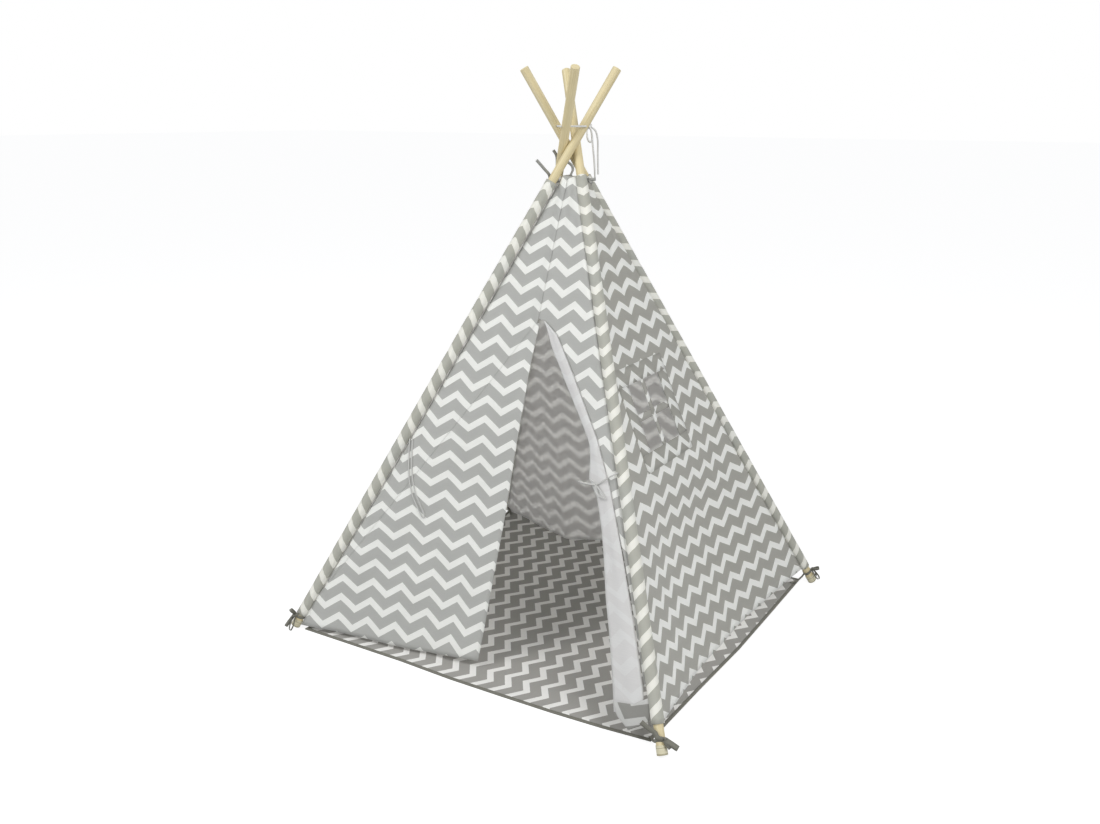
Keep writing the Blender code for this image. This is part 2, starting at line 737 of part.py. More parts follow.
def ribbon(name, path, wide_way, wide=RIBBON_WIDE, thick=RIBBON_THICK):
    """A flat ribbon along a path; wide_way is the direction of its width."""
    points = []
    count = len(path)
    for i, p in enumerate(path):
        ahead = (path[min(i + 1, count - 1)] - path[max(i - 1, 0)]).normalized()
        across = (wide_way - ahead * wide_way.dot(ahead)).normalized()
        points.append(p - across * (wide / 2))
        points.append(p + across * (wide / 2))
    faces = [(2 * i, 2 * i + 1, 2 * i + 3, 2 * i + 2) for i in range(count - 1)]
    obj = mesh_object(name, points, faces)
    solid = obj.modifiers.new("thickness", "SOLIDIFY")
    solid.thickness = thick
    solid.offset = 0.0
    return plain(obj, name)


def rounded(points, steps):
    """A smooth path through points, in straight pieces."""
    result = []
    count = len(points)
    for i in range(count - 1):
        p0 = points[max(i - 1, 0)]
        p1 = points[i]
        p2 = points[i + 1]
        p3 = points[min(i + 2, count - 1)]
        for k in range(steps):
            t = k / steps
            result.append(0.5 * ((2.0 * p1) + (p2 - p0) * t
                                 + (2.0 * p0 - 5.0 * p1 + 4.0 * p2 - p3) * t * t
                                 + (3.0 * p1 - p0 - 3.0 * p2 + p3) * t * t * t))
    result.append(points[-1].copy())
    return result


def knot_body(name, centre, radius):
    mesh = bpy.data.meshes.new(name)
    work = bmesh.new()
    bmesh.ops.create_icosphere(work, subdivisions=2, radius=radius)
    work.to_mesh(mesh)
    work.free()
    mesh.transform(Matrix.Translation(centre))
    obj = bpy.data.objects.new(name, mesh)
    scene.collection.objects.link(obj)
    return obj


def ribbon_tie(name, pole, s, knot_turn, loops, tails):
    """A ribbon round a pole with its bow. Loops and tails are lists of offsets (out, side,
    up) in level directions from the pole's middle, in millimetres."""
    base = pole.at(s)
    level_out = -pole.inward
    up = Vector((0.0, 0.0, 1.0))

    def place(offset):
        out, side, rise = offset
        return base + (level_out * out + pole.side * side + up * rise) * MM

    turn = math.radians(knot_turn)
    knot_way = pole.outward * math.cos(turn) + pole.side * math.sin(turn)
    centre = base + knot_way * (POLE_R + 2 * GAP + RIBBON_KNOT_R)
    ring = turned(name, tube_profile(RIBBON_RING_OUT_R, SOCKET_R, s - RIBBON_WIDE / 2,
                                     s + RIBBON_WIDE / 2), pole.placing(),
                  steps=HIDDEN_STEPS, ring=True)
    bodies = [ring, knot_body(name + "_knot", centre, RIBBON_KNOT_R)]
    for number, (tip, spread_way) in enumerate(loops):
        end = place(tip)
        run = end - centre
        length = run.length
        ahead = run.normalized()
        way = Vector(level_out * spread_way[0] + pole.side * spread_way[1] + up * spread_way[2])
        way = (way - ahead * way.dot(ahead)).normalized()
        shape = ((0.0, 0.35), (0.35, 0.8), (0.75, 1.0), (0.97, 0.6), (1.0, 0.0),
                 (0.97, -0.6), (0.75, -1.0), (0.35, -0.8), (0.0, -0.35))
        path = rounded([centre + ahead * (length * a) + way * (LOOP_SPREAD * b)
                        for a, b in shape], 1)
        bodies.append(ribbon("%s_loop_%d" % (name, number), path, ahead.cross(way)))
    for number, (path_points, wide_way) in enumerate(tails):
        way = Vector(level_out * wide_way[0] + pole.side * wide_way[1] + up * wide_way[2])
        path = rounded([centre] + [place(p) for p in path_points], 2)
        bodies.append(ribbon("%s_tail_%d" % (name, number), path, way.normalized()))
    return joined(name, bodies)


LOOP_SPREAD = 5.0 * MM

# Straps from the mat's corners end just above the binding; the numbers are offsets in mm
STRAP = {
    "fl": ((-16.0, 0.0, -17.0), (-26.0, 1.0, -23.0), (-40.0, 1.0, -27.6), (-56.0, 1.0, -29.0)),
    "fr": ((-16.0, 0.0, -17.0), (-26.0, 1.0, -24.0), (-44.0, 1.0, -29.6), (-62.0, 1.0, -30.6)),
    "br": ((-16.0, 0.0, -17.0), (-26.0, 1.0, -25.0), (-38.0, 1.0, -32.4), (-54.0, 1.0, -34.0)),
    "bl": ((-16.0, 0.0, -17.0), (-26.0, 1.0, -24.0), (-38.0, 1.0, -29.2), (-54.0, 1.0, -30.6)),
}
CORNER_BOWS = {
    "fl": (0.0, (((27.0, -8.0, 26.0), (0.0, 1.0, 0.0)), ((30.0, -36.0, -24.0), (1.0, 0.3, 0.0)),
                 ((43.0, -12.0, -23.0), (0.0, 1.0, 0.0))),
           ((((22.0, -14.0, 6.0), (12.0, -24.0, 14.0), (4.0, -26.0, 22.0)), (1.0, 0.0, 0.3)),)),
    "fr": (-35.0, (((16.0, -48.0, -12.0), (0.2, 0.0, 1.0)), ((26.0, -44.0, -20.0), (1.0, 0.0, 0.4))),
           ((((30.0, -14.0, -12.0), (40.0, -16.0, -26.0)), (0.0, 1.0, 0.0)),)),
    "br": (20.0, (((34.0, 12.0, 14.0), (0.0, 1.0, 0.0)), ((30.0, 24.0, -18.0), (1.0, 0.0, 0.0))),
           ((((28.0, 0.0, -6.0), (36.0, -8.0, -22.0)), (0.0, 1.0, 0.3)),)),
    "bl": (0.0, (((40.0, -27.0, 6.0), (0.0, 0.0, 1.0)), ((46.0, 22.0, -20.0), (0.0, 1.0, 0.0))),
           ((((28.0, 6.0, -10.0), (34.0, 10.0, -26.0)), (0.0, 1.0, 0.0)),)),
}
TOP_BOWS = {
    "fl": (0.0, (((36.0, 10.0, -4.0), (0.0, 0.0, 1.0)),),
           ((((38.0, 0.0, 16.0), (58.0, 0.0, 34.0)), (0.0, 1.0, 0.0)),
            (((31.0, -10.0, -8.0), (44.0, -16.0, -22.0)), (0.0, 1.0, 0.0)))),
    "fr": (-90.0, (((4.0, -42.0, -4.0), (0.0, 0.0, 1.0)), ((10.0, -38.0, -14.0), (1.0, 0.0, 0.0))),
           ((((6.0, -28.0, 8.0), (2.0, -40.0, 14.0)), (0.0, 0.3, 1.0)),)),
    "br": (-60.0, (((14.0, -40.0, -4.0), (0.0, 0.0, 1.0)),),
           ((((18.0, -26.0, 10.0), (20.0, -34.0, 26.0)), (1.0, 0.0, 0.0)),
            (((22.0, -24.0, -12.0), (30.0, -28.0, -26.0)), (1.0, -0.3, 0.0)))),
    "bl": (-40.0, (((34.0, -20.0, -6.0), (0.0, 0.0, 1.0)),),
           ((((22.0, -18.0, 22.0), (22.0, -22.0, 46.0)), (1.0, 0.0, 0.0)),
            (((30.0, -10.0, -8.0), (38.0, -8.0, -22.0)), (0.0, 1.0, 0.0)))),
}

for corner, pole in poles.items():
    turn, loops, tails = CORNER_BOWS[corner]
    name = "mat_tie_" + corner
    tie = ribbon_tie(name, pole, CORNER_TIE_S[corner], turn, loops, tails)
    base = pole.at(CORNER_TIE_S[corner])
    strap_path = [pole.at(CORNER_TIE_S[corner] - RIBBON_WIDE / 4,
                          -(SOCKET_R + RIBBON_RING_OUT_R) / 2)]
    strap_path += [base + (-pole.inward * out + pole.side * side
                           + Vector((0.0, 0.0, 1.0)) * rise) * MM
                   for out, side, rise in STRAP[corner]]
    boolean(tie, ribbon(name + "_strap", rounded(strap_path, 2), pole.side), "UNION")
    keep(tie, name, "ribbon", smooth=True)
    turn, loops, tails = TOP_BOWS[corner]
    name = "cover_tie_" + corner
    top_tie = ribbon_tie(name, pole, pole.sleeve_top + TOP_TIE_RISE, turn, loops, tails)
    keep(top_tie, name, "ribbon", smooth=True)


# Rope through the four poles, its knot behind the front left pole and its loose ends


def tube(name, path, radius, cyclic=False, resolution=2):
    curve = bpy.data.curves.new(name, "CURVE")
    curve.dimensions = "3D"
    curve.bevel_depth = radius
    curve.bevel_resolution = resolution
    curve.use_fill_caps = True
    spline = curve.splines.new("POLY")
    spline.points.add(len(path) - 1)
    for point, place in zip(spline.points, path):
        point.co = (place.x, place.y, place.z, 1.0)
    spline.use_cyclic_u = cyclic
    obj = bpy.data.objects.new(name, curve)
    scene.collection.objects.link(obj)
    return plain(obj, name)


ROPE_SHARES = (1.0, 0.74, 0.0, -0.74, -1.0)


def hole_points(corner):
    """The rope's points through a pole's hole, straight for the width of the pole."""
    pole = poles[corner]
    middle = pole.at(pole.reach + ROPE_RISE)
    return [middle + pole.side * (ROPE_STRAIGHT * share) for share in ROPE_SHARES]


knot_pole = poles["fl"]
knot_centre = knot_pole.at(knot_pole.reach + ROPE_RISE) + Vector(KNOT_BESIDE_POLE)
rope_points = []
for corner in ("fl", "bl", "br", "fr"):
    rope_points += hole_points(corner)
rope_points.append(knot_centre + Vector((-18.0, 12.0, 1.0)) * MM)
rope_points.append(knot_centre)
rope_points.append(knot_centre + Vector((-2.0, -11.0, 0.0)) * MM)


def closed_path(points, steps):
    count = len(points)
    result = []
    for i in range(count):
        piece = [points[i - 1], points[i], points[(i + 1) % count], points[(i + 2) % count]]
        p0, p1, p2, p3 = piece
        for k in range(steps):
            t = k / steps
            result.append(0.5 * ((2.0 * p1) + (p2 - p0) * t
                                 + (2.0 * p0 - 5.0 * p1 + 4.0 * p2 - p3) * t * t
                                 + (3.0 * p1 - p0 - 3.0 * p2 + p3) * t * t * t))
    return result


ROPE_LOOP = ((-3.0, -2.0, -3.0), (-4.0, -5.0, -14.0), (0.0, -8.0, -32.0), (7.0, -7.0, -41.0),
             (13.0, -5.0, -34.0), (9.5, -4.0, -15.0), (4.0, -2.5, -3.0))
ROPE_ENDS = {
    "rope_end_short": ((5.4, 4.4, -3.8), (9.0, 7.4, -6.6), (15.5, 11.5, -16.0), (20.0, 13.0, -40.0),
                       (20.5, 13.0, -70.0), (22.0, 12.0, -100.0), (23.0, 12.0, -124.0)),
    "rope_end_long": ((-0.6, 6.0, -5.2), (-1.0, 9.8, -8.6), (-0.6, 14.5, -18.0), (2.0, 16.0, -44.0),
                      (8.0, 13.0, -76.0), (14.0, 8.0, -104.0), (18.0, 4.0, -136.0)),
}


def from_knot(offsets):
    return [knot_centre + Vector(offset) * MM for offset in offsets]


rope = tube("crossing_rope", closed_path(rope_points, 2), ROPE_R, cyclic=True)
boolean(rope, knot_body("rope_knot", knot_centre, KNOT_R), "UNION")
boolean(rope, tube("rope_loop", rounded(from_knot(ROPE_LOOP), 3), ROPE_R), "UNION")
keep(rope, "crossing_rope", "rope", smooth=True)
for name, offsets in ROPE_ENDS.items():
    keep(tube(name, rounded(from_knot(offsets), 3), ROPE_R), name, "rope", smooth=True)


# Door cords: the left one hangs doubled from the sleeve seam, the right one is tied

CORD_LEFT = ((-318.2, 557.0, 4.2), (-311.0, 520.0, 3.1), (-297.0, 468.0, 3.1),
             (-275.0, 424.0, 3.1), (-255.0, 396.0, 3.1), (-238.0, 372.0, 3.2),
             (-231.0, 368.0, 3.3), (-229.0, 375.0, 3.3), (-246.0, 401.0, 3.1),
             (-266.0, 430.0, 3.1), (-287.0, 473.0, 3.1), (-302.0, 523.0, 3.1),
             (-309.0, 560.0, 3.6))
CORD_KNOT = (284.0, 562.0, 12.9)
CORD_KNOT_R = 4.2 * MM
CORD_RIGHT = ((331.0, 606.0, 13.0), (322.0, 597.0, 12.6), (307.0, 584.0, 12.6),
              (294.0, 571.0, 12.6), (284.0, 562.0, 12.9))
CORD_LOOP = ((283.0, 563.0, 12.9), (274.0, 574.0, 15.0), (264.0, 583.0, 16.0),
             (260.0, 578.0, 16.0), (270.0, 566.0, 15.0), (283.0, 561.0, 12.9))
CORD_TAILS = (((284.0, 562.0, 12.9), (266.0, 566.0, 13.0), (243.0, 574.0, 12.0)),
              ((284.0, 562.0, 12.9), (291.0, 548.0, 14.4), (300.0, 528.0, 14.0)))


def on_front(places, falls=False):
    points = []
    for x, z, lift in places:
        fall = flap_fall(x * MM, z * MM) if falls else 0.0
        points.append(front.point(x * MM, z * MM, lift * MM - fall))
    return points


keep(tube("door_tie_left", rounded(on_front(CORD_LEFT, falls=True), 2), CORD_R),
     "door_tie_left", "rope", smooth=True)
cord = tube("door_tie_right", rounded(on_front(CORD_RIGHT), 3), CORD_R)
boolean(cord, knot_body("cord_knot", on_front([CORD_KNOT])[0], CORD_KNOT_R), "UNION")
boolean(cord, tube("cord_loop", rounded(on_front(CORD_LOOP), 3), CORD_R), "UNION")
for number, places in enumerate(CORD_TAILS):
    boolean(cord, tube("cord_tail_%d" % number, rounded(on_front(places), 3), CORD_R), "UNION")
keep(cord, "door_tie_right", "rope", smooth=True)


# Joint axes as empties


def marker(name, place):
    empty = bpy.data.objects.new(name, None)
    empty.location = place
    empty.empty_display_size = SECTION_LENGTH / 10
    tent.objects.link(empty)
    return empty


def hang(empty, names):
    """Give the pieces the empty as parent without moving them."""
    bpy.context.view_layer.update()
    for name in names:
        piece = bpy.data.objects[name]
        piece.parent = empty
        piece.matrix_parent_inverse = empty.matrix_world.inverted()


hub = marker("hub_axis", (0.0, 0.0, CROSS_Z))
hang(hub, ["crossing_rope", "rope_end_short", "rope_end_long"])
for corner, pole in poles.items():
    axis = marker("pole_axis_" + corner, pole.hub)
    hang(axis, ["pole_%s_%s" % (corner, part) for part in ("lower", "middle", "upper")]
         + ["ferrule_%s_low" % corner, "ferrule_%s_high" % corner, "foot_cap_" + corner,
            "cover_sleeve_" + corner, "mat_tie_" + corner, "cover_tie_" + corner])
panel_axis = marker("panel_axis", (0.0, 0.0, CROSS_Z))
hang(panel_axis, ["cover_front_left", "cover_front_right", "cover_left", "cover_right",
                  "cover_back", "window_frame", "window_cross", "door_tie_left",
                  "door_tie_right"])
FOLD_AXIS_TOP = (149.0 * MM, 870.0 * MM)
flap_axis = marker("door_axis_left", front.point(HINGE_LEFT_TOP_X, SLIT_Z, FLAP_LEFT_AXIS_LIFT))
hang(flap_axis, ["door_flap_left"])
fold_axis = marker("door_axis_right",
                   front.point(FOLD_AXIS_TOP[0], FOLD_AXIS_TOP[1], FOLD_AXIS_LIFT))
hang(fold_axis, ["door_flap_right"])

for obj in list(cutters.objects):
    obj.hide_render = True
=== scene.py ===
import math

import bmesh
import bpy
import numpy as np
from mathutils import Matrix, Vector, noise


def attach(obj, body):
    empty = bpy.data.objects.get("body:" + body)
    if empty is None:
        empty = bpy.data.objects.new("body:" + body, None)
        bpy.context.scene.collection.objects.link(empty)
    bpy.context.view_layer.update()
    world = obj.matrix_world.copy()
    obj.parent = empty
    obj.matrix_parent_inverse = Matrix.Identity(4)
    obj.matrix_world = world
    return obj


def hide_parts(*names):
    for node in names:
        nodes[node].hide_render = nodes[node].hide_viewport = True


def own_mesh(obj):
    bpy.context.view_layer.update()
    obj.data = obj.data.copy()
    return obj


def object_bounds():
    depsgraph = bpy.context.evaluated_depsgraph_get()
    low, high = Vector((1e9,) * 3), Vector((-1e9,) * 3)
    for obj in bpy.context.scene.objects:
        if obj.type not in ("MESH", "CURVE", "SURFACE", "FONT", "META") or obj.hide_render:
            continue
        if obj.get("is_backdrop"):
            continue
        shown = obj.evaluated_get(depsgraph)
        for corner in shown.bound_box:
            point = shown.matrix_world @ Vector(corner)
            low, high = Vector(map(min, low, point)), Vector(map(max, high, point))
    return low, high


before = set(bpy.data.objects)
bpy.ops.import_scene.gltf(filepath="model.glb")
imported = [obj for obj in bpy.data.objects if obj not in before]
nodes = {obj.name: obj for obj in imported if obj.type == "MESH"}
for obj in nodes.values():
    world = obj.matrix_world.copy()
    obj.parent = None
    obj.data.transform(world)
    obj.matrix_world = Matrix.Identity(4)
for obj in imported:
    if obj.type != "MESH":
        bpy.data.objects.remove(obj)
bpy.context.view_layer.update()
scene = bpy.context.scene
MM = 0.001

# Viewpoint, floor and light
# The tent stands on a plain white floor and is seen from its front right, from a little below
# the height of its pole tops. Two large soft lamps and an even sky light it.
EYE = Vector((1.4402, -2.4203, 1.433))
HEADING = -0.5548
TILT_DOWN = 0.2854
ROLL = 0.0034
FOCAL_PIXELS = 1020.9777
PHOTO_PIXELS = 1100.0
SENSOR_MM = 36.0

ahead = Vector((math.sin(HEADING) * math.cos(TILT_DOWN), math.cos(HEADING) * math.cos(TILT_DOWN),
                -math.sin(TILT_DOWN)))
level = Vector((math.cos(HEADING), -math.sin(HEADING), 0.0))
upright = level.cross(ahead)
right_way = level * math.cos(ROLL) + upright * math.sin(ROLL)
up_way = upright * math.cos(ROLL) - level * math.sin(ROLL)
camera_data = bpy.data.cameras.new("camera")
camera_data.sensor_fit = "HORIZONTAL"
camera_data.sensor_width = SENSOR_MM
camera_data.lens = FOCAL_PIXELS / PHOTO_PIXELS * SENSOR_MM
camera = bpy.data.objects.new("camera", camera_data)
camera.matrix_world = (Matrix.Translation(EYE)
                       @ Matrix((right_way, up_way, -ahead)).transposed().to_4x4())
scene.collection.objects.link(camera)
scene.camera = camera


def linear(code):
    """The linear colour that a shader takes, from an sRGB hex value."""
    shares = [int(code[i:i + 2], 16) / 255 for i in (1, 3, 5)]
    return [c / 12.92 if c <= 0.04045 else ((c + 0.055) / 1.055) ** 2.4 for c in shares] + [1.0]


def node(tree, kind, inputs=None, **settings):
    """Add a node to a tree, with its settings, values and links."""
    made = tree.nodes.new("ShaderNode" + kind)
    for name, value in settings.items():
        setattr(made, name, value)
    for name, value in (inputs or {}).items():
        if isinstance(value, bpy.types.NodeSocket):
            tree.links.new(value, made.inputs[name])
        else:
            made.inputs[name].default_value = value
    return made


def new_material(name):
    """A material with its tree and its shader, ready for a finish."""
    material = bpy.data.materials.new(name)
    material.use_nodes = True
    tree = material.node_tree
    return material, tree, tree.nodes["Principled BSDF"]


FLOOR_HALF = 60.0
FLOOR_DROP = 0.4 * MM
FLOOR_SEEN = 0.84
FLOOR_LIT = 0.34
SKY = 0.44
world = bpy.data.worlds.new("even_sky")
world.use_nodes = True
scene.world = world
tree = world.node_tree
tree.nodes.clear()
path = node(tree, "LightPath")
seen = node(tree, "Math", {0: path.outputs["Is Camera Ray"], 1: path.outputs["Is Glossy Ray"]},
            operation="MAXIMUM")
seen = node(tree, "Math", {0: seen.outputs[0], 1: path.outputs["Is Transmission Ray"]},
            operation="MAXIMUM")
lighting = node(tree, "Background", {"Color": linear("#F6F8FC"), "Strength": SKY})
backdrop = node(tree, "Background", {"Color": linear("#FFFFFF"), "Strength": 1.0})
both = node(tree, "MixShader", {0: seen.outputs[0], 1: lighting.outputs[0], 2: backdrop.outputs[0]})
node(tree, "OutputWorld", {"Surface": both.outputs[0]})

floor_mesh = bpy.data.meshes.new("floor")
floor_corners = [(x * FLOOR_HALF, y * FLOOR_HALF, -FLOOR_DROP)
                 for x, y in ((-1, -1), (1, -1), (1, 1), (-1, 1))]
floor_mesh.from_pydata(floor_corners, [], [(0, 1, 2, 3)])
floor = bpy.data.objects.new("floor", floor_mesh)
scene.collection.objects.link(floor)
# Matt white paint: even and without gleam. Seen straight, it stays near white in any light.
floor_paint, tree, shader = new_material("matt_white_floor")
shader.inputs["Base Color"].default_value = linear("#D8D8D8")
shader.inputs["Roughness"].default_value = 1.0
shader.inputs["Specular IOR Level"].default_value = 0.0
path = node(tree, "LightPath")
lit = node(tree, "BsdfDiffuse", {"Color": (FLOOR_LIT, FLOOR_LIT, FLOOR_LIT, 1.0)})
glow = node(tree, "Emission", {"Color": linear("#FFFFFF"), "Strength": FLOOR_SEEN})
bright = node(tree, "AddShader", {0: lit.outputs[0], 1: glow.outputs[0]})
both = node(tree, "MixShader", {0: path.outputs["Is Camera Ray"], 1: shader.outputs[0],
                                2: bright.outputs[0]})
tree.links.new(both.outputs[0], tree.nodes["Material Output"].inputs["Surface"])
floor.data.materials.append(floor_paint)
floor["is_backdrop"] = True

LAMP_TARGET = Vector((0.0, 0.0, 0.6))
LAMP_WIDE = 2.6
LAMPS = {"key_lamp": ((-2.0, -3.6, 4.2), 106.0), "fill_lamp": ((3.6, -1.6, 3.6), 88.0)}
for name, (place, watts) in LAMPS.items():
    data = bpy.data.lights.new(name, "AREA")
    data.shape = "DISK"
    data.size = LAMP_WIDE
    data.energy = watts
    lamp = bpy.data.objects.new(name, data)
    lamp.location = place
    lamp.rotation_euler = (LAMP_TARGET - Vector(place)).to_track_quat("-Z", "Y").to_euler()
    scene.collection.objects.link(lamp)
scene.view_settings.view_transform = "Standard"

# Poles
# Four round pine poles, 24 mm thick and 1.8 m long, each of three turned lengths. They are
# sanded and left bare, so they are pale cream with fine grain along their length.
HALF_X = 590.0 * MM
HALF_Y = 547.0 * MM
CROSS_Z = 1343.6 * MM
POLE_R = 12.0 * MM
NEST_OFFSET = 19.7 * MM
SIDES = {"fl": (-1, -1), "fr": (1, -1), "br": (1, 1), "bl": (-1, 1)}
UP = Vector((0.0, 0.0, 1.0))


class Pole:
    """A pole of the standing tent, from its foot in one corner up through the crossing."""

    def __init__(self, corner):
        sign_x, sign_y = SIDES[corner]
        self.corner = corner
        self.foot = Vector((sign_x * HALF_X, sign_y * HALF_Y, 0.0))
        self.inward = Vector((-self.foot.x, -self.foot.y, 0.0)).normalized()
        self.side = Vector((-self.inward.y, self.inward.x, 0.0))
        self.axis = (UP * CROSS_Z - self.side * NEST_OFFSET - self.foot).normalized()
        self.outward = (-self.inward + self.axis * self.inward.dot(self.axis)).normalized()

    def at(self, s, out=0.0, side=0.0):
        """A point beside the pole: s along it, out away from the tent, side around it."""
        return self.foot + self.axis * s + self.outward * out + self.side * side

    def turn(self):
        return Matrix((self.side, self.axis.cross(self.side), self.axis)).transposed()


poles = {corner: Pole(corner) for corner in SIDES}
GRAIN_MM = 3.2
GRAIN_RUN_MM = 260.0
KNOT_MM = 55.6
KNOT_RUN_MM = 181.8
TINT_MM = 71.4
GRAIN_DEEP = 0.4 * MM
NEXT_LENGTH = 0.3


def pole_place(tree, pole, shift=0.0):
    """Where a point lies on a pole, in the pole's own axes from its foot."""
    back = pole.turn().transposed()
    return node(tree, "Mapping", {"Vector": node(tree, "TexCoord").outputs["Object"],
                                  "Rotation": tuple(back.to_euler()),
                                  "Location": tuple(Vector((shift, 0, 0)) - back @ pole.foot)})


def pine(pole, number):
    """Sanded bare pine: dull and cream, with darker growth lines that run with the pole and a
    few soft knots. Each length of a pole is cut from another stretch of wood."""
    material, tree, shader = new_material("sanded_pine_%s_%d" % (pole.corner, number))
    local = pole_place(tree, pole, NEXT_LENGTH * number)
    long_way = node(tree, "Mapping", {"Vector": local.outputs[0], "Scale": (
        1000 / GRAIN_MM, 1000 / GRAIN_MM, 1000 / GRAIN_RUN_MM)})
    growth = node(tree, "TexNoise", {"Vector": long_way.outputs[0], "Scale": 1.0, "Detail": 5.0,
                                     "Roughness": 0.62, "Distortion": 0.7})
    lines = node(tree, "ValToRGB", {"Fac": growth.outputs["Fac"]})
    ramp = lines.color_ramp
    ramp.elements[0].position = 0.30
    ramp.elements[0].color = linear("#D8CCA2")
    ramp.elements[1].position = 0.72
    ramp.elements[1].color = linear("#F2ECD2")
    middle = ramp.elements.new(0.50)
    middle.color = linear("#E8DFBC")
    broad = node(tree, "TexNoise", {"Vector": local.outputs[0], "Scale": 1000 / TINT_MM,
                                    "Detail": 2.0})
    tint = node(tree, "Mix", {"Factor": broad.outputs["Fac"], "A": linear("#F4F0E2"),
                              "B": linear("#FFF6EA")}, data_type="RGBA")
    toned = node(tree, "Mix", {"Factor": 1.0, "A": lines.outputs["Color"],
                               "B": tint.outputs["Result"]}, data_type="RGBA",
                 blend_type="MULTIPLY")
    knots = node(tree, "TexVoronoi", {"Vector": node(tree, "Mapping", {
        "Vector": local.outputs[0],
        "Scale": (1000 / KNOT_MM, 1000 / KNOT_MM, 1000 / KNOT_RUN_MM)}).outputs[0], "Scale": 1.0})
    spot = node(tree, "MapRange", {"Value": knots.outputs["Distance"], "From Min": 0.05,
                                   "From Max": 0.13, "To Min": 0.55, "To Max": 0.0})
    colour = node(tree, "Mix", {"Factor": spot.outputs[0], "A": toned.outputs["Result"],
                                "B": linear("#CDB687")}, data_type="RGBA")
    tree.links.new(colour.outputs["Result"], shader.inputs["Base Color"])
    rough = node(tree, "MapRange", {"Value": growth.outputs["Fac"], "To Min": 0.5, "To Max": 0.66})
    tree.links.new(rough.outputs[0], shader.inputs["Roughness"])
    bump = node(tree, "Bump", {"Height": growth.outputs["Fac"], "Strength": 0.25,
                               "Distance": GRAIN_DEEP})
    tree.links.new(bump.outputs[0], shader.inputs["Normal"])
    return material


def dress(name, material):
    """Give a solid of the frame its finish."""
    nodes[name].data.materials.clear()
    nodes[name].data.materials.append(material)


for corner, pole in poles.items():
    for number, part in enumerate(("lower", "middle", "upper")):
        dress("pole_%s_%s" % (corner, part), pine(pole, number))

# Ferrules and foot caps
# A drawn aluminium tube joins each two lengths of a pole, hidden in the cover's sleeve. Each
# foot stands in a short cream cap of moulded plastic, with a darker rim at the floor and a thin
# dark ring above it.
DRAWN_LINE_MM = 1.11
CAP_RIM_MM = 11.5
CAP_RING_MM = 24.0
CAP_RING_HALF_MM = 0.7
CAP_CLOUD_MM = 11.1
CAP_CLOUD_DEEP = 0.3 * MM
# Drawn aluminium: satin grey, with faint lines left by the drawing.
aluminium, tree, shader = new_material("drawn_aluminium")
shader.inputs["Metallic"].default_value = 1.0
place = node(tree, "TexCoord")
lines = node(tree, "TexNoise", {"Vector": place.outputs["Object"], "Scale": 1000 / DRAWN_LINE_MM,
                                "Detail": 2.0})
tone = node(tree, "Mix", {"Factor": lines.outputs["Fac"], "A": linear("#B9BBBD"),
                          "B": linear("#D3D4D6")}, data_type="RGBA")
tree.links.new(tone.outputs["Result"], shader.inputs["Base Color"])
rough = node(tree, "MapRange", {"Value": lines.outputs["Fac"], "To Min": 0.28, "To Max": 0.42})
tree.links.new(rough.outputs[0], shader.inputs["Roughness"])


def moulded_cap(pole):
    """Moulded plastic: cream with a soft gloss, faintly clouded, darker at its rim and ring."""
    material, tree, shader = new_material("moulded_cap_" + pole.corner)
    along_pole = node(tree, "SeparateXYZ", {0: pole_place(tree, pole).outputs[0]}).outputs["Z"]
    rim = node(tree, "Math", {0: along_pole, 1: CAP_RIM_MM * MM}, operation="LESS_THAN")
    ring = node(tree, "Math", {0: along_pole, 1: CAP_RING_MM * MM, 2: CAP_RING_HALF_MM * MM},
                operation="COMPARE")
    dark = node(tree, "Math", {0: rim.outputs[0], 1: ring.outputs[0]}, operation="MAXIMUM")
    soft = node(tree, "Math", {0: dark.outputs[0], 1: 0.62}, operation="MULTIPLY")
    cloudy = node(tree, "TexNoise", {"Vector": node(tree, "TexCoord").outputs["Object"],
                                     "Scale": 1000 / CAP_CLOUD_MM, "Detail": 3.0})
    cream = node(tree, "Mix", {"Factor": cloudy.outputs["Fac"], "A": linear("#D6CFAE"),
                               "B": linear("#E4DEC4")}, data_type="RGBA")
    colour = node(tree, "Mix", {"Factor": soft.outputs[0], "A": cream.outputs["Result"],
                                "B": linear("#8C8460")}, data_type="RGBA")
    tree.links.new(colour.outputs["Result"], shader.inputs["Base Color"])
    shader.inputs["Roughness"].default_value = 0.42
    bump = node(tree, "Bump", {"Height": cloudy.outputs["Fac"], "Strength": 0.1,
                               "Distance": CAP_CLOUD_DEEP})
    tree.links.new(bump.outputs[0], shader.inputs["Normal"])
    return material


for corner, pole in poles.items():
    dress("foot_cap_" + corner, moulded_cap(pole))
    for end in ("low", "high"):
        dress("ferrule_%s_%s" % (corner, end), aluminium)

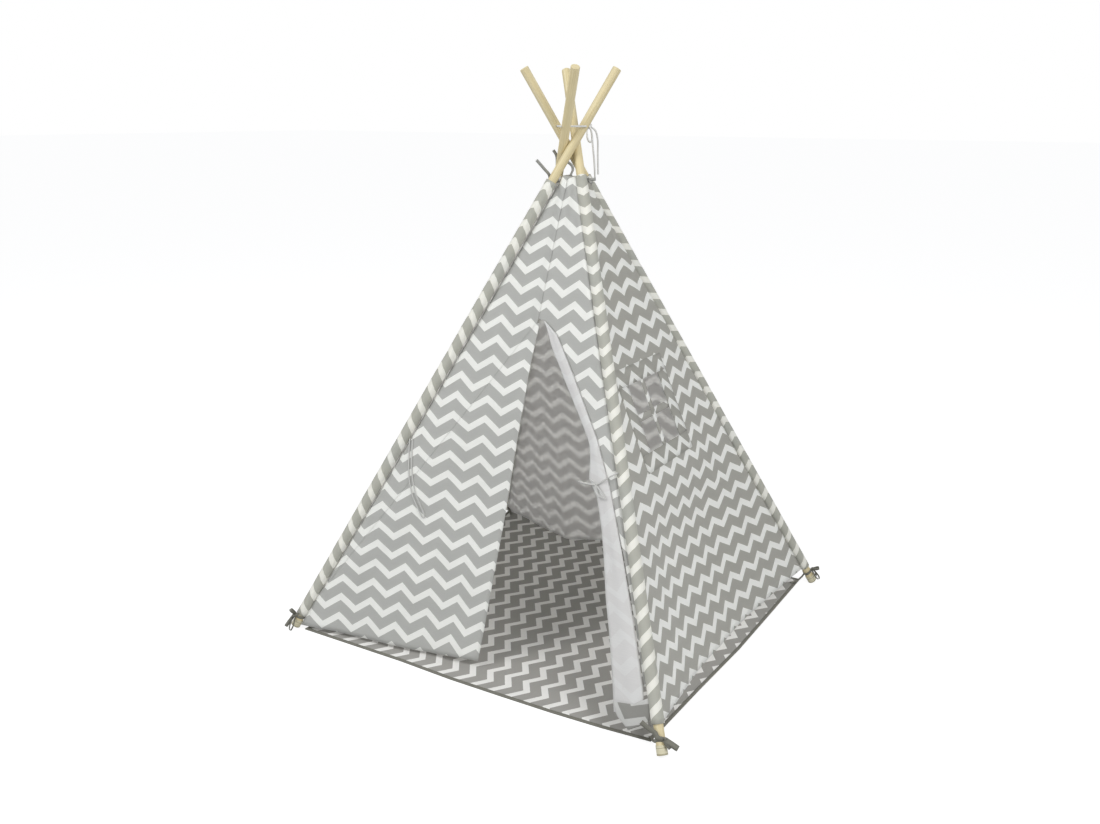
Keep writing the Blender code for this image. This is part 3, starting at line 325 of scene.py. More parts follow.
# Rope through the poles
# A white braided polyester rope, 5 mm thick, runs through a drilled hole in each pole, is
# knotted behind the front left pole, and leaves a loop and two loose ends hanging there.
ROPE_R = 2.5 * MM
ROPE_HOLE_S = 1630.0 * MM
ROPE_STRAIGHT = 17.0 * MM
ROPE_SHARES = (1.0, 0.74, 0.0, -0.74, -1.0)
KNOT_AT = (35.0 * MM, 41.0 * MM)
ROPE_LOOP = ((-3.0, -2.0, -3.0), (-4.0, -5.0, -14.0), (0.0, -8.0, -32.0), (7.0, -7.0, -41.0),
             (13.0, -5.0, -34.0), (9.5, -4.0, -15.0), (4.0, -2.5, -3.0))
ROPE_ENDS = {
    "rope_end_short": ((5.4, 4.4, -3.8), (9.0, 7.4, -6.6), (15.5, 11.5, -16.0), (20.0, 13.0, -40.0),
                       (20.5, 13.0, -70.0), (22.0, 12.0, -100.0), (23.0, 12.0, -124.0)),
    "rope_end_long": ((-0.6, 6.0, -5.2), (-1.0, 9.8, -8.6), (-0.6, 14.5, -18.0), (2.0, 16.0, -44.0),
                      (8.0, 13.0, -76.0), (14.0, 8.0, -104.0), (18.0, 4.0, -136.0)),
}
ROPE_PITCH = 7.0 * MM
ROPE_KNOT_R = 6.0 * MM
STRAND_DEEP = 0.6 * MM
KNOT_STEPS = 36


def curve_point(p0, p1, p2, p3, t):
    """A place between p1 and p2 on the smooth curve through four points."""
    return 0.5 * ((2.0 * p1) + (p2 - p0) * t + (2.0 * p0 - 5.0 * p1 + 4.0 * p2 - p3) * t * t
                  + (3.0 * p1 - p0 - 3.0 * p2 + p3) * t * t * t)


def rounded(points, steps, closed=False):
    """A smooth path through points."""
    count = len(points)
    result = []
    for i in range(count if closed else count - 1):
        if closed:
            four = [points[i - 1], points[i], points[(i + 1) % count], points[(i + 2) % count]]
        else:
            four = [points[max(i - 1, 0)], points[i], points[i + 1], points[min(i + 2, count - 1)]]
        result += [curve_point(*four, k / steps) for k in range(steps)]
    if not closed:
        result.append(points[-1].copy())
    return result


def finished(name, points, faces, cut_places, materials):
    """A smooth mesh with its flat pattern, in metres, in the UV map called cut."""
    mesh = bpy.data.meshes.new(name)
    mesh.from_pydata([tuple(p) for p in points], [], faces)
    layer = mesh.uv_layers.new(name="cut")
    flat = [c for polygon in mesh.polygons for corner in cut_places(polygon) for c in corner]
    layer.data.foreach_set("uv", flat)
    for material in materials:
        mesh.materials.append(material)
    mesh.polygons.foreach_set("use_smooth", [True] * len(mesh.polygons))
    mesh.update()
    obj = bpy.data.objects.new(name, mesh)
    scene.collection.objects.link(obj)
    return obj


def tube(name, path, radius, material, closed=False, segments=12):
    """A round cord along a path, with a rounded end where it is open."""
    count = len(path)
    normal = None
    rings = []
    lengths = [0.0]
    for i in range(count):
        before = path[i - 1] if closed or i > 0 else path[i]
        after = path[(i + 1) % count] if closed or i < count - 1 else path[i]
        forward = (after - before).normalized()
        if normal is None:
            normal = forward.orthogonal().normalized()
        normal = (normal - forward * normal.dot(forward)).normalized()
        rings.append((path[i], forward, normal.copy()))
        if i:
            lengths.append(lengths[-1] + (path[i] - path[i - 1]).length)
    points = []
    heights = []
    layout = [(c, f, n, 1.0, h) for (c, f, n), h in zip(rings, lengths)]
    if not closed:
        first, last = layout[0], layout[-1]
        nose = [(0.55, 0.84), (0.9, 0.45)]
        layout = ([(first[0] - first[1] * radius * a, first[1], first[2], b, first[4] - radius * a)
                   for a, b in reversed(nose)] + layout
                  + [(last[0] + last[1] * radius * a, last[1], last[2], b, last[4] + radius * a)
                     for a, b in nose])
    for centre, forward, out, share, height in layout:
        side = forward.cross(out)
        for k in range(segments):
            angle = 2.0 * math.pi * k / segments
            away = out * math.cos(angle) + side * math.sin(angle)
            points.append(centre + away * radius * share)
        heights.append(height)
    total = len(layout)
    faces = []
    maps = []
    around = 2.0 * math.pi * radius
    turns = total if closed else total - 1
    for i in range(turns):
        high = heights[i + 1] if i + 1 < total else heights[i] + (path[0] - path[-1]).length
        for k in range(segments):
            a = i * segments + k
            b = i * segments + (k + 1) % segments
            c = ((i + 1) % total) * segments
            faces.append((a, b, c + (k + 1) % segments, c + k))
            u0, u1 = around * k / segments, around * (k + 1) / segments
            maps.append(((u0, heights[i]), (u1, heights[i]), (u1, high), (u0, high)))
    if not closed:
        faces.append(tuple(reversed(range(segments))))
        maps.append(tuple((0.0, heights[0]) for _ in range(segments)))
        faces.append(tuple(range((total - 1) * segments, total * segments)))
        maps.append(tuple((0.0, heights[-1]) for _ in range(segments)))
    return finished(name, points, faces, lambda polygon: maps[polygon.index], [material])


def joined(name, objects):
    """Sew several meshes into one piece."""
    target = objects[0]
    work = bmesh.new()
    work.from_mesh(target.data)
    for other in objects[1:]:
        work.from_mesh(other.data)
        bpy.data.objects.remove(other, do_unlink=True)
    work.to_mesh(target.data)
    work.free()
    target.name = name
    target.data.name = name
    return target


def braided(name, light, dark, pitch, radius):
    """Braided cord: dull and pale, with dips between two sets of strands that wind round it in
    opposite ways. The darker tone in the dips is painted shade between the strands."""
    material, tree, shader = new_material(name)
    cut = node(tree, "UVMap", uv_map="cut")
    parts = node(tree, "SeparateXYZ", {0: cut.outputs[0]})
    round_it = node(tree, "Math", {0: parts.outputs["X"], 1: 2.0 / radius}, operation="MULTIPLY")
    along_it = node(tree, "Math", {0: parts.outputs["Y"], 1: 2.0 * math.pi / pitch},
                    operation="MULTIPLY")
    one = node(tree, "Math", {0: round_it.outputs[0], 1: along_it.outputs[0]}, operation="ADD")
    two = node(tree, "Math", {0: round_it.outputs[0], 1: along_it.outputs[0]}, operation="SUBTRACT")
    one = node(tree, "Math", {0: one.outputs[0]}, operation="SINE")
    two = node(tree, "Math", {0: two.outputs[0]}, operation="SINE")
    weave = node(tree, "Math", {0: one.outputs[0], 1: two.outputs[0]}, operation="MULTIPLY")
    height = node(tree, "MapRange", {"Value": weave.outputs[0], "From Min": -1.0})
    # Painted shade: the colour falls to the darker tone in the dips between the strands.
    tone = node(tree, "Mix", {"Factor": height.outputs[0], "A": linear(dark), "B": linear(light)},
                data_type="RGBA")
    tree.links.new(tone.outputs["Result"], shader.inputs["Base Color"])
    shader.inputs["Roughness"].default_value = 0.8
    shader.inputs["Sheen Weight"].default_value = 0.15
    bump = node(tree, "Bump", {"Height": height.outputs[0], "Strength": 0.6,
                               "Distance": STRAND_DEEP})
    tree.links.new(bump.outputs[0], shader.inputs["Normal"])
    return material


def knot_path(centre, radius, turn, lean):
    """The path of an overhand knot."""
    tilt = Matrix.Rotation(lean, 3, "X") @ Matrix.Rotation(turn, 3, "Z")
    points = []
    for k in range(KNOT_STEPS):
        t = 2.0 * math.pi * k / KNOT_STEPS
        p = Vector((math.sin(t) + 2.0 * math.sin(2.0 * t), math.cos(t) - 2.0 * math.cos(2.0 * t),
                    -1.3 * math.sin(3.0 * t))) / 3.0
        points.append(centre + tilt @ p * radius)
    return points


white_rope = braided("braided_polyester_rope", "#F4F4F2", "#D9D9D6", ROPE_PITCH, ROPE_R)
rope_z = poles["fl"].at(ROPE_HOLE_S).z
knot_centre = Vector((KNOT_AT[0], KNOT_AT[1], rope_z))


def from_knot(offsets):
    """Places round the knot, from offsets in mm."""
    return [knot_centre + Vector(offset) * MM for offset in offsets]


rope_points = []
for corner in ("fl", "bl", "br", "fr"):
    middle = poles[corner].at(ROPE_HOLE_S)
    rope_points += [middle + poles[corner].side * (ROPE_STRAIGHT * share) for share in ROPE_SHARES]
rope_points += from_knot(((-18.0, 12.0, 1.0), (0.0, 0.0, 0.0), (-2.0, -11.0, 0.0)))
rope = joined("crossing_rope_braid", [
    tube("ring", rounded(rope_points, 4, closed=True), ROPE_R, white_rope, closed=True),
    tube("knot", knot_path(knot_centre, ROPE_KNOT_R, 0.4, 1.2), ROPE_R, white_rope, closed=True),
    tube("loop", rounded(from_knot(ROPE_LOOP), 6), ROPE_R, white_rope)])
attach(rope, "crossing")
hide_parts("crossing_rope")
for name, offsets in ROPE_ENDS.items():
    points = rounded(from_knot(offsets), 5)
    end = tube(name + "_braid", points, ROPE_R, white_rope)
    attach(end, "crossing")
    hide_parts(name)
    tuple(points[0])

# Sleeves
# Each pole runs in a channel folded from the cover's canvas and sewn along the side's edge. The
# canvas is cotton, printed with white zigzags on warm grey. The print wraps round the pole, so
# only slanting parts of the zigzag show on it.
CLOTH = 1.2 * MM
SLEEVE_R = 15.4 * MM
SLEEVE_THICK = 0.7 * MM
SLEEVE_UNEVEN = 0.5 * MM
SLEEVE_UNEVEN_RUN = 50.0 * MM
SLEEVE_GATHER_RUN = 60.0 * MM
SLEEVE_ROWS = 96
SLEEVE_STEPS = 28
SLEEVE_TOP = {"fl": 1464.0 * MM, "fr": 1480.0 * MM, "br": 1474.0 * MM, "bl": 1470.0 * MM}
SLEEVE_BOTTOM = {"fl": 48.0 * MM, "fr": 78.0 * MM, "br": 66.0 * MM, "bl": 60.0 * MM}
# How the print lies on each sleeve: its drift along it, its shift and start in mm, its stretch.
SLEEVE_PRINT = {"fl": (-0.020, 9.0, 2.2, 0.982), "fr": (-0.016, 68.0, 41.0, 1.0),
                "br": (0.024, 0.0, 10.0, 1.0), "bl": (0.050, 5.0, 0.0, 1.0)}
# A zigzag in mm: wave, rise and row; then its lean, its start in mm, the share of a row at
# which the first one begins, and the share of a row that is white.
ZIGZAG_SLEEVE = (88.0, 33.0, 55.5, 0.0, 0.0, 0.0, 0.385)
ZIGZAG_PLAIN = (88.0, 30.0, 55.5, 0.0, 0.0, 0.0, 0.385)
LIGHT_IN = 0.20
LIGHT_OUT = 0.64
RAGGED_MM = 2.38
RAGGED_DEEP = 1.0 * MM
SLUB_MM = 2.38
SLUB_RUN_MM = 33.3
CLOUD_MM = 111.0
WEAR = 0.04
WEAVE_DEEP = 0.3 * MM
# The threads of canvas lie well under 1 mm apart, too fine to show, so they are drawn coarser.
THREAD_MM = 2.4


def printed_cotton(name, ground, stripe, zigzag, through):
    """Cotton canvas with a printed zigzag: dull, a little mottled, with a faint weave and
    slightly ragged edges to its print. Some light comes through the cloth from behind."""
    material, tree, shader = new_material(name)
    wave, rise, row, lean, start, first, white = zigzag
    cut = node(tree, "UVMap", uv_map="cut")
    parts = node(tree, "SeparateXYZ", {0: cut.outputs[0]})
    u, v = parts.outputs["X"], parts.outputs["Y"]
    ragged = node(tree, "TexNoise", {"Vector": cut.outputs[0], "Scale": 1000 / RAGGED_MM,
                                     "Detail": 2.0})
    edge = node(tree, "Math", {0: ragged.outputs["Fac"], 1: RAGGED_DEEP, 2: v},
                operation="MULTIPLY_ADD")
    moved = node(tree, "Math", {0: u, 1: start * MM}, operation="SUBTRACT")
    peaks = node(tree, "Math", {0: moved.outputs[0], 1: wave / 2 * MM}, operation="PINGPONG")
    raised = node(tree, "Math", {0: peaks.outputs[0], 1: -2.0 * rise / wave, 2: edge.outputs[0]},
                  operation="MULTIPLY_ADD")
    leaned = node(tree, "Math", {0: u, 1: -lean, 2: raised.outputs[0]}, operation="MULTIPLY_ADD")
    rows = node(tree, "Math", {0: leaned.outputs[0], 1: row * MM}, operation="DIVIDE")
    shifted = node(tree, "Math", {0: rows.outputs[0], 1: 0.5 - first}, operation="ADD")
    share = node(tree, "Math", {0: shifted.outputs[0]}, operation="FRACT")
    off_middle = node(tree, "Math", {0: share.outputs[0], 1: 0.5}, operation="SUBTRACT")
    distance = node(tree, "Math", {0: off_middle.outputs[0]}, operation="ABSOLUTE")
    inked = node(tree, "Math", {0: distance.outputs[0], 1: white / 2}, operation="LESS_THAN")
    print_colour = node(tree, "Mix", {"Factor": inked.outputs[0], "A": linear(ground),
                                      "B": linear(stripe)}, data_type="RGBA")
    slub = node(tree, "TexNoise", {"Vector": node(tree, "Mapping", {
        "Vector": cut.outputs[0], "Scale": (1000 / SLUB_RUN_MM, 1000 / SLUB_MM, 1.0)}).outputs[0],
        "Scale": 1.0, "Detail": 3.0})
    cloud = node(tree, "TexNoise", {"Vector": cut.outputs[0], "Scale": 1000 / CLOUD_MM,
                                    "Detail": 2.0})
    mottle = node(tree, "Math", {0: slub.outputs["Fac"], 1: cloud.outputs["Fac"]}, operation="ADD")
    tone = node(tree, "MapRange", {"Value": mottle.outputs[0], "From Min": 0.6, "From Max": 1.4,
                                   "To Min": 1.0 - WEAR, "To Max": 1.0 + WEAR})
    toned = node(tree, "VectorMath", {0: print_colour.outputs["Result"]}, operation="SCALE")
    tree.links.new(tone.outputs[0], toned.inputs["Scale"])
    tree.links.new(toned.outputs[0], shader.inputs["Base Color"])
    warp = node(tree, "Math", {0: node(tree, "Math", {0: u, 1: 2.0 * math.pi * 1000 / THREAD_MM},
                                       operation="MULTIPLY").outputs[0]}, operation="SINE")
    weft = node(tree, "Math", {0: node(tree, "Math", {0: v, 1: 2.0 * math.pi * 1000 / THREAD_MM},
                                       operation="MULTIPLY").outputs[0]}, operation="SINE")
    weave = node(tree, "Math", {0: warp.outputs[0], 1: weft.outputs[0]}, operation="MULTIPLY")
    bump = node(tree, "Bump", {"Height": weave.outputs[0], "Strength": 0.35,
                               "Distance": WEAVE_DEEP})
    tree.links.new(bump.outputs[0], shader.inputs["Normal"])
    shader.inputs["Roughness"].default_value = 0.88
    shader.inputs["Sheen Weight"].default_value = 0.08
    shader.inputs["Specular IOR Level"].default_value = 0.25
    passed = node(tree, "BsdfTranslucent", {"Color": (through, through, through, 1.0),
                                            "Normal": bump.outputs[0]})
    both = node(tree, "AddShader", {0: shader.outputs[0], 1: passed.outputs[0]})
    tree.links.new(both.outputs[0], tree.nodes["Material Output"].inputs["Surface"])
    return material


def smooth_step(value):
    """A soft rise from 0 to 1 while the value goes from 0 to 1."""
    value = min(1.0, max(0.0, value))
    return value * value * (3.0 - 2.0 * value)


def grid_faces(rows, columns, down_first=False):
    """The quads of a grid of points that is listed row by row."""
    faces = []
    wide = columns + 1
    for i in range(rows):
        for j in range(columns):
            a = i * wide + j
            quad = (a, a + 1, a + 1 + wide, a + wide)
            faces.append(quad[:1] + quad[:0:-1] if down_first else quad)
    return faces


def cloth_mesh(name, points, faces, cut, materials):
    """A sheet of cloth: each of its points has one place on the flat pattern."""
    return finished(name, points, faces, lambda polygon: [cut[i] for i in polygon.vertices],
                    materials)


def thicken(obj, thick=CLOTH):
    """The sheet gets its thickness, with the second material on its inside."""
    solid = obj.modifiers.new("thickness", "SOLIDIFY")
    solid.thickness = thick
    solid.offset = 0.0
    solid.material_offset = 1
    solid.material_offset_rim = 0
    solid.use_rim = True


def sleeve(pole, seed):
    drift, shift, start, stretch = SLEEVE_PRINT[pole.corner]
    top, bottom = SLEEVE_TOP[pole.corner], SLEEVE_BOTTOM[pole.corner]
    points, cut = [], []
    for i in range(SLEEVE_ROWS + 1):
        s = top + (bottom - top) * i / SLEEVE_ROWS
        at_top = smooth_step((s - (top - SLEEVE_GATHER_RUN)) / SLEEVE_GATHER_RUN)
        for k in range(SLEEVE_STEPS + 1):
            angle = 2.0 * math.pi * k / SLEEVE_STEPS
            wrap = angle % (2.0 * math.pi)
            place = Vector((math.cos(wrap) * 2, math.sin(wrap) * 2, s / SLEEVE_UNEVEN_RUN + seed * 9))
            radius = (SLEEVE_R + SLEEVE_UNEVEN * noise.noise(place)
                      + at_top * SLEEVE_UNEVEN * math.sin(7.0 * wrap))
            points.append(pole.at(s, -radius * math.cos(angle), radius * math.sin(angle)))
            cut.append((radius * angle + drift * s + shift * MM, stretch * s - start * MM))
    faces = grid_faces(SLEEVE_ROWS, SLEEVE_STEPS)
    normal = (points[1] - points[0]).cross(points[SLEEVE_STEPS + 1] - points[0])
    if normal.dot(points[0] - pole.at(top)) < 0:
        faces = [tuple(reversed(face)) for face in faces]
    piece = cloth_mesh("sleeve_%s_canvas" % pole.corner, points, faces, cut,
                       [sleeve_print, reverse])
    thicken(piece, SLEEVE_THICK)
    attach(piece, "pole_" + pole.corner)
    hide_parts("cover_sleeve_" + pole.corner)


sleeve_print = printed_cotton("printed_cotton_sleeve", "#ACADA4", "#E9E9E1", ZIGZAG_SLEEVE,
                              LIGHT_IN)
# The reverse is the same canvas: flat grey, with the print showing through faintly. On the inner
# faces it is a darker grey than the bundle's pale reverse: painted shade of the tent's inside.
SHADED_REVERSE_GROUND = "#A09E9D"
SHADED_REVERSE_STRIPE = "#B4B2B1"
reverse = printed_cotton("cotton_reverse", SHADED_REVERSE_GROUND, SHADED_REVERSE_STRIPE, ZIGZAG_PLAIN, LIGHT_OUT)
for seed, pole in enumerate(poles.values(), 1):
    sleeve(pole, seed)

# Front, left half
# Each side of the cover is a wedge of canvas that hangs from a sleeve at each edge. The front's
# left half overlaps the right one above the door, then runs down beside the door to a point
# near the foot of the pole. The printed face is outside.
COVER_TOP_Z = 1270.0 * MM
SEAM_R = 16.8 * MM
HEM_POWER = 2.0
CREASE_DEEP = 4.5 * MM
CREASE_WIDE = 8.0 * MM
PLEATS_FOOT_Z = 1040.0 * MM
PLEATS_TOP_RUN = 70.0 * MM
PLEAT_BROAD = 2.4 * MM
PLEAT_BROAD_RUN = 9.0 * MM
PLEAT_FINE = 1.6 * MM
PLEAT_FINE_RUN = 5.1 * MM
PLEAT_TIGHT = 3.2 * MM
PLEAT_TIGHT_RUN = 4.2 * MM
PLEAT_TIGHT_LEAN = 22.0 * MM
OVERLAP_LEFT_X = 14.0 * MM
OVERLAP_RIGHT_X = -8.0 * MM
OVERLAP_LIFT = 2.7 * MM
OVERLAP_FROM_X = -95.0 * MM
OVERLAP_RUN = 75.0 * MM
SLIT_Z = 900.0 * MM
STRIP_LEFT_FOOT = (-514.0 * MM, 122.0 * MM)
STRIP_GAP = 0.45 * MM
HINGE_LEFT_TOP_X = 14.0 * MM
LAY_RUN = 120.0 * MM
FRONT_PLEAT_SHARE = 0.6
STRIP_LEFT_RUMPLE = (90.0 * MM, 1.6 * MM)
GROUND_FRONT = "#A8A9A5"
STRIPE_WHITE = "#E6E7E2"
ZIGZAG_FRONT_LEFT = (90.0, 32.0, 55.0, 0.0, 0.0, 0.0, 0.385)
front_left_print = printed_cotton("printed_cotton_front_left", GROUND_FRONT, STRIPE_WHITE,
                                  ZIGZAG_FRONT_LEFT, LIGHT_IN)


class Side:
    """One side of the tent: a plane from the crossing down to the line between two feet."""

    def __init__(self, across, away, half, left, right):
        lean = math.atan2(half, CROSS_Z)
        self.across = Vector(across)
        self.away = Vector(away)
        self.down = self.away * math.sin(lean) - UP * math.cos(lean)
        self.out = self.away * math.cos(lean) + UP * math.sin(lean)
        self.slope = math.cos(lean)
        self.left = poles[left]
        self.right = poles[right]

    def point(self, x, z, lift=0.0, pull=0.0):
        """x across the side, z height of the plane there, lift off it, pull level inwards."""
        return (UP * CROSS_Z + self.across * x + self.down * ((CROSS_Z - z) / self.slope)
                + self.out * lift - self.away * pull)

    def edge(self, pole, z, radius):
        """Where the side meets the round of a pole's sleeve."""
        start = self.point(0.0, z) - pole.foot
        flat = start - pole.axis * start.dot(pole.axis)
        step = self.across - pole.axis * self.across.dot(pole.axis)
        a = step.dot(step)
        b = 2.0 * flat.dot(step)
        c = flat.dot(flat) - radius * radius
        root = math.sqrt(b * b - 4.0 * a * c)
        return min(((-b - root) / (2.0 * a), (-b + root) / (2.0 * a)), key=abs)

    def left_edge(self, z):
        return self.edge(self.left, z, SEAM_R)

    def right_edge(self, z):
        return self.edge(self.right, z, SEAM_R)


front = Side((1, 0, 0), (0, -1, 0), HALF_Y, "fl", "fr")


def spread(first, last, count):
    """Even steps from the first value to the last."""
    return [first + (last - first) * i / count for i in range(count + 1)]


def drawn(skew, u, v):
    """Where a point of the print lies on cloth that hangs a little askew: the middle of the
    skew, its reach, and the shifts in mm that grow with the distance from that middle."""
    if not skew:
        return u, v
    if callable(skew):
        return skew(u, v)
    middle, reach, across, upwards = skew
    a = min(1.5, max(-1.5, (u - middle[0]) / reach[0]))
    b = min(1.5, max(-1.5, (v - middle[1]) / reach[1]))
    ways = (a * b, b * b, a * a)
    return (u + MM * sum(k * way for k, way in zip(across, ways)),
            v + MM * sum(k * way for k, way in zip(upwards, ways)))


def lay_cloth(name, side, levels, hem, left_edge, right_edge, shape, columns, materials, skew=None):
    """A sheet on one side of the tent: a grid of points from its top to its hem."""
    top, last = levels[0], levels[-1]
    points, cut = [], []
    for level in levels:
        share_down = (top - level) / (top - last)
        for j in range(columns + 1):
            share = j / columns
            z = level
            for _ in range(5):
                start, end = left_edge(z), right_edge(z)
                x = start + (end - start) * share
                z = level + (hem(x) - last) * share_down ** HEM_POWER
            lift, pull = shape(x, z, share)
            points.append(side.point(x, z, lift, pull))
            cut.append(drawn(skew, x, z / side.slope))
    faces = grid_faces(len(levels) - 1, columns, down_first=True)
    if side.out.dot((points[columns + 1] - points[0]).cross(points[1] - points[0])) < 0:
        faces = [tuple(reversed(face)) for face in faces]
    return cloth_mesh(name, points, faces, cut, materials)


def hang(obj, body, replaced):
    """The piece rides on its part of the tent, with a mesh of its own, and the parts that it replaces
    are hidden.
    """
    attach(obj, body)
    if replaced:
        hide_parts(*replaced)
    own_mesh(obj)


def rumple(x, z, size, seed):
    """Small uneven waves in the cloth, of a width and a depth."""
    wide, deep = size
    return deep * noise.noise(Vector((x / wide, z / wide * 0.6, seed)))


def tuck(share, width):
    """The cloth turns in beside its sleeve, which leaves a dark crease there."""
    near = min(share, 1.0 - share) * width
    return -CREASE_DEEP * (1.0 - smooth_step(near / CREASE_WIDE))


def gathers(x, z, seed):
    """Pleats that run down from the gathered top edge."""
    share = smooth_step((z - PLEATS_FOOT_Z) / (COVER_TOP_Z - PLEATS_FOOT_Z))
    crowd = smooth_step((z - COVER_TOP_Z) / PLEATS_TOP_RUN + 1.0)
    broad = PLEAT_BROAD * math.sin(x / PLEAT_BROAD_RUN + seed)
    fine = PLEAT_FINE * math.sin(x / PLEAT_FINE_RUN + 2.0 * seed)
    tight = PLEAT_TIGHT * math.sin(x / PLEAT_TIGHT_RUN + z / PLEAT_TIGHT_LEAN + seed)
    return share * (broad + fine) + crowd * tight


def overlap_lift(x):
    """How far the left half stands off where it overlaps the right one."""
    return OVERLAP_LIFT * smooth_step((x - OVERLAP_FROM_X) / OVERLAP_RUN)


def strip_left_x(z):
    """The slanting line at which the door hangs from the left strip."""
    foot_x, foot_z = STRIP_LEFT_FOOT
    return HINGE_LEFT_TOP_X + (foot_x - HINGE_LEFT_TOP_X) * (SLIT_Z - z) / (SLIT_Z - foot_z)


# How the print lies on the strip and on the door: its wave, row, lean, start and first row, and
# then how the cloth hangs askew.
STRIP_LAY = ((91.6, 55.91, 0.0069, 34.6, 0.83),
             ((-0.163, 0.838), (0.214, 0.454), (-0.5, -1.0, -5.3), (3.3, -2.1, 4.9)))
DOOR_LAY = ((89.3, 54.49, 0.0579, 46.8, 1.37),
            ((-0.189, 0.349), (0.237, 0.378), (-15.1, 8.0, 9.4), (-3.7, 4.2, 8.4)))


def laid(lay, u, v):
    """A place in the plain zigzag of the front, on a part that was drawn to a wave, a row, a
    lean, a start and a first row of its own."""
    (wave, row, lean, start, first), skew = lay
    u, v = drawn(skew, u, v)
    return ((u - start * MM) * ZIGZAG_FRONT_LEFT[0] / wave,
            ((v - lean * u) / row - first * MM) * ZIGZAG_FRONT_LEFT[2])


def front_left_lay(u, v):
    """The strip and the door are one width of canvas, so the print runs on across them."""
    z = v * front.slope
    share = (smooth_step((u - strip_left_x(z)) / LAY_RUN + 0.5)
             * smooth_step((SLIT_Z - z) / LAY_RUN + 0.4))
    strip, door = laid(STRIP_LAY, u, v), laid(DOOR_LAY, u, v)
    return tuple(a + (b - a) * share for a, b in zip(strip, door))


def front_left_inner(z):
    return OVERLAP_LEFT_X if z >= SLIT_Z else strip_left_x(z) - STRIP_GAP / 3


def front_left_shape(x, z, share):
    width = front_left_inner(z) - front.left_edge(z)
    tucked = tuck(min(share, 0.5), width)
    free = smooth_step(share / 0.25) * smooth_step((1.0 - share) / 0.2)
    return (overlap_lift(x) * smooth_step(share / 0.28) + tucked
            + (gathers(x, z, 0.5) * FRONT_PLEAT_SHARE
               + rumple(x, z, STRIP_LEFT_RUMPLE, 1.0)) * free), 0.0


piece = lay_cloth("front_left_canvas", front,
                  spread(COVER_TOP_Z, SLIT_Z, 36) + spread(SLIT_Z, STRIP_LEFT_FOOT[1], 60)[1:],
                  lambda x: STRIP_LEFT_FOOT[1], front.left_edge, front_left_inner,
                  front_left_shape, 30, [front_left_print, reverse], front_left_lay)
thicken(piece)
hang(piece, "side_front", ["cover_front_left"])

# Front, right half
# The right half lies under the left one in the middle. Below the door's top it is a narrow
# strip of the same canvas between the tied-back half of the door and the front right pole.
def in_mm(*pairs):
    """A table of pairs, given in mm."""
    return tuple((a * MM, b * MM) for a, b in pairs)


SLIT_RIGHT_Z = 911.0 * MM
STRIP_RIGHT_FINE_Z = 886.0 * MM
STRIP_RIGHT_FOOT_Z = 134.0 * MM
STRIP_RIGHT_LINE = in_mm(
    (911.0, 17.0), (907.0, 33.0), (900.0, 46.0), (876.0, 81.0), (787.0, 152.0), (646.0, 258.0),
    (538.0, 322.0), (391.0, 394.0), (229.0, 468.0), (134.0, 508.0), (46.0, 540.0))
STRIP_RIGHT_IN = 1.5 * MM
STRIP_RIGHT_RUMPLE = (90.0 * MM, 1.2 * MM)
ZIGZAG_FRONT_RIGHT = (81.7, 30.1, 56.3, 0.0483, 71.7, 0.66, 0.385)
front_right_print = printed_cotton("printed_cotton_front_right", GROUND_FRONT, STRIPE_WHITE,
                                   ZIGZAG_FRONT_RIGHT, LIGHT_IN)


def along(table, value):
    """What a table of pairs gives for a value, with straight lines between its pairs."""
    ordered = sorted(table)
    return float(np.interp(value, [p for p, s in ordered], [s for p, s in ordered]))


def strip_right_x(z):
    """The line at which the folded half of the door leaves the right strip."""
    return along(STRIP_RIGHT_LINE, z)


def front_right_inner(z):
    if z < SLIT_RIGHT_Z:
        return strip_right_x(z)
    return max(OVERLAP_RIGHT_X, front.left_edge(z) + STRIP_RIGHT_IN)


def front_right_shape(x, z, share):
    width = front.right_edge(z) - front_right_inner(z)
    free = smooth_step(share / 0.25) * smooth_step((1.0 - share) / 0.25)
    return (tuck(max(share, 0.5), width)
            + (gathers(x, z, 2.5) * FRONT_PLEAT_SHARE
               + rumple(x, z, STRIP_RIGHT_RUMPLE, 3.0)) * free), 0.0


piece = lay_cloth("front_right_canvas", front,
                  spread(COVER_TOP_Z, SLIT_RIGHT_Z, 36)
                  + spread(SLIT_RIGHT_Z, STRIP_RIGHT_FINE_Z, 8)[1:]
                  + spread(STRIP_RIGHT_FINE_Z, STRIP_RIGHT_FOOT_Z, 60)[1:],
                  lambda x: STRIP_RIGHT_FOOT_Z, front_right_inner, front.right_edge,
                  front_right_shape, 22, [front_right_print, reverse])
thicken(piece)
hang(piece, "side_front", ["cover_front_right"])

# Door, left half
# The left half of the door hangs closed from a slanting line, loose along its straight edge
# and its hem, so it falls inwards towards the floor. Both free edges are turned and stitched.
FLAP_LEFT_TOP_Z = 899.5 * MM
FLAP_LEFT_EDGE = in_mm((900.0, 20.5), (700.0, 18.2), (510.0, 11.2), (219.0, 1.0), (60.0, -4.0))
FLAP_LEFT_HEM = in_mm((-575.0, 12.0), (-457.0, 21.5), (-208.0, 33.0), (0.0, 54.0))
FLAP_LEFT_FOLD = 5.0 * MM
FLAP_LEFT_FALL = 0.155
FLAP_FALL_TOP_Z = 950.0 * MM
FLAP_FALL_RUN_Z = 550.0 * MM
FLAP_FALL_START = 120.0 * MM
FLAP_FLAT_SHARE = 0.32
FLAP_FOLD_TOP_Z = 760.0 * MM
FLAP_LEFT_RUMPLE = (120.0 * MM, 2.0 * MM)


def flap_left_outer(z):
    line = strip_left_x(z) + STRIP_GAP / 3
    return line if z >= STRIP_LEFT_FOOT[1] else max(line, front.left_edge(z))


def flap_fall(x, z):
    """How far the loose part of the flap falls inwards."""
    reach = max(0.0, x - flap_left_outer(z))
    steep = FLAP_LEFT_FALL * smooth_step((FLAP_FALL_TOP_Z - z) / FLAP_FALL_RUN_Z)
    return steep * reach * smooth_step(reach / FLAP_FALL_START)


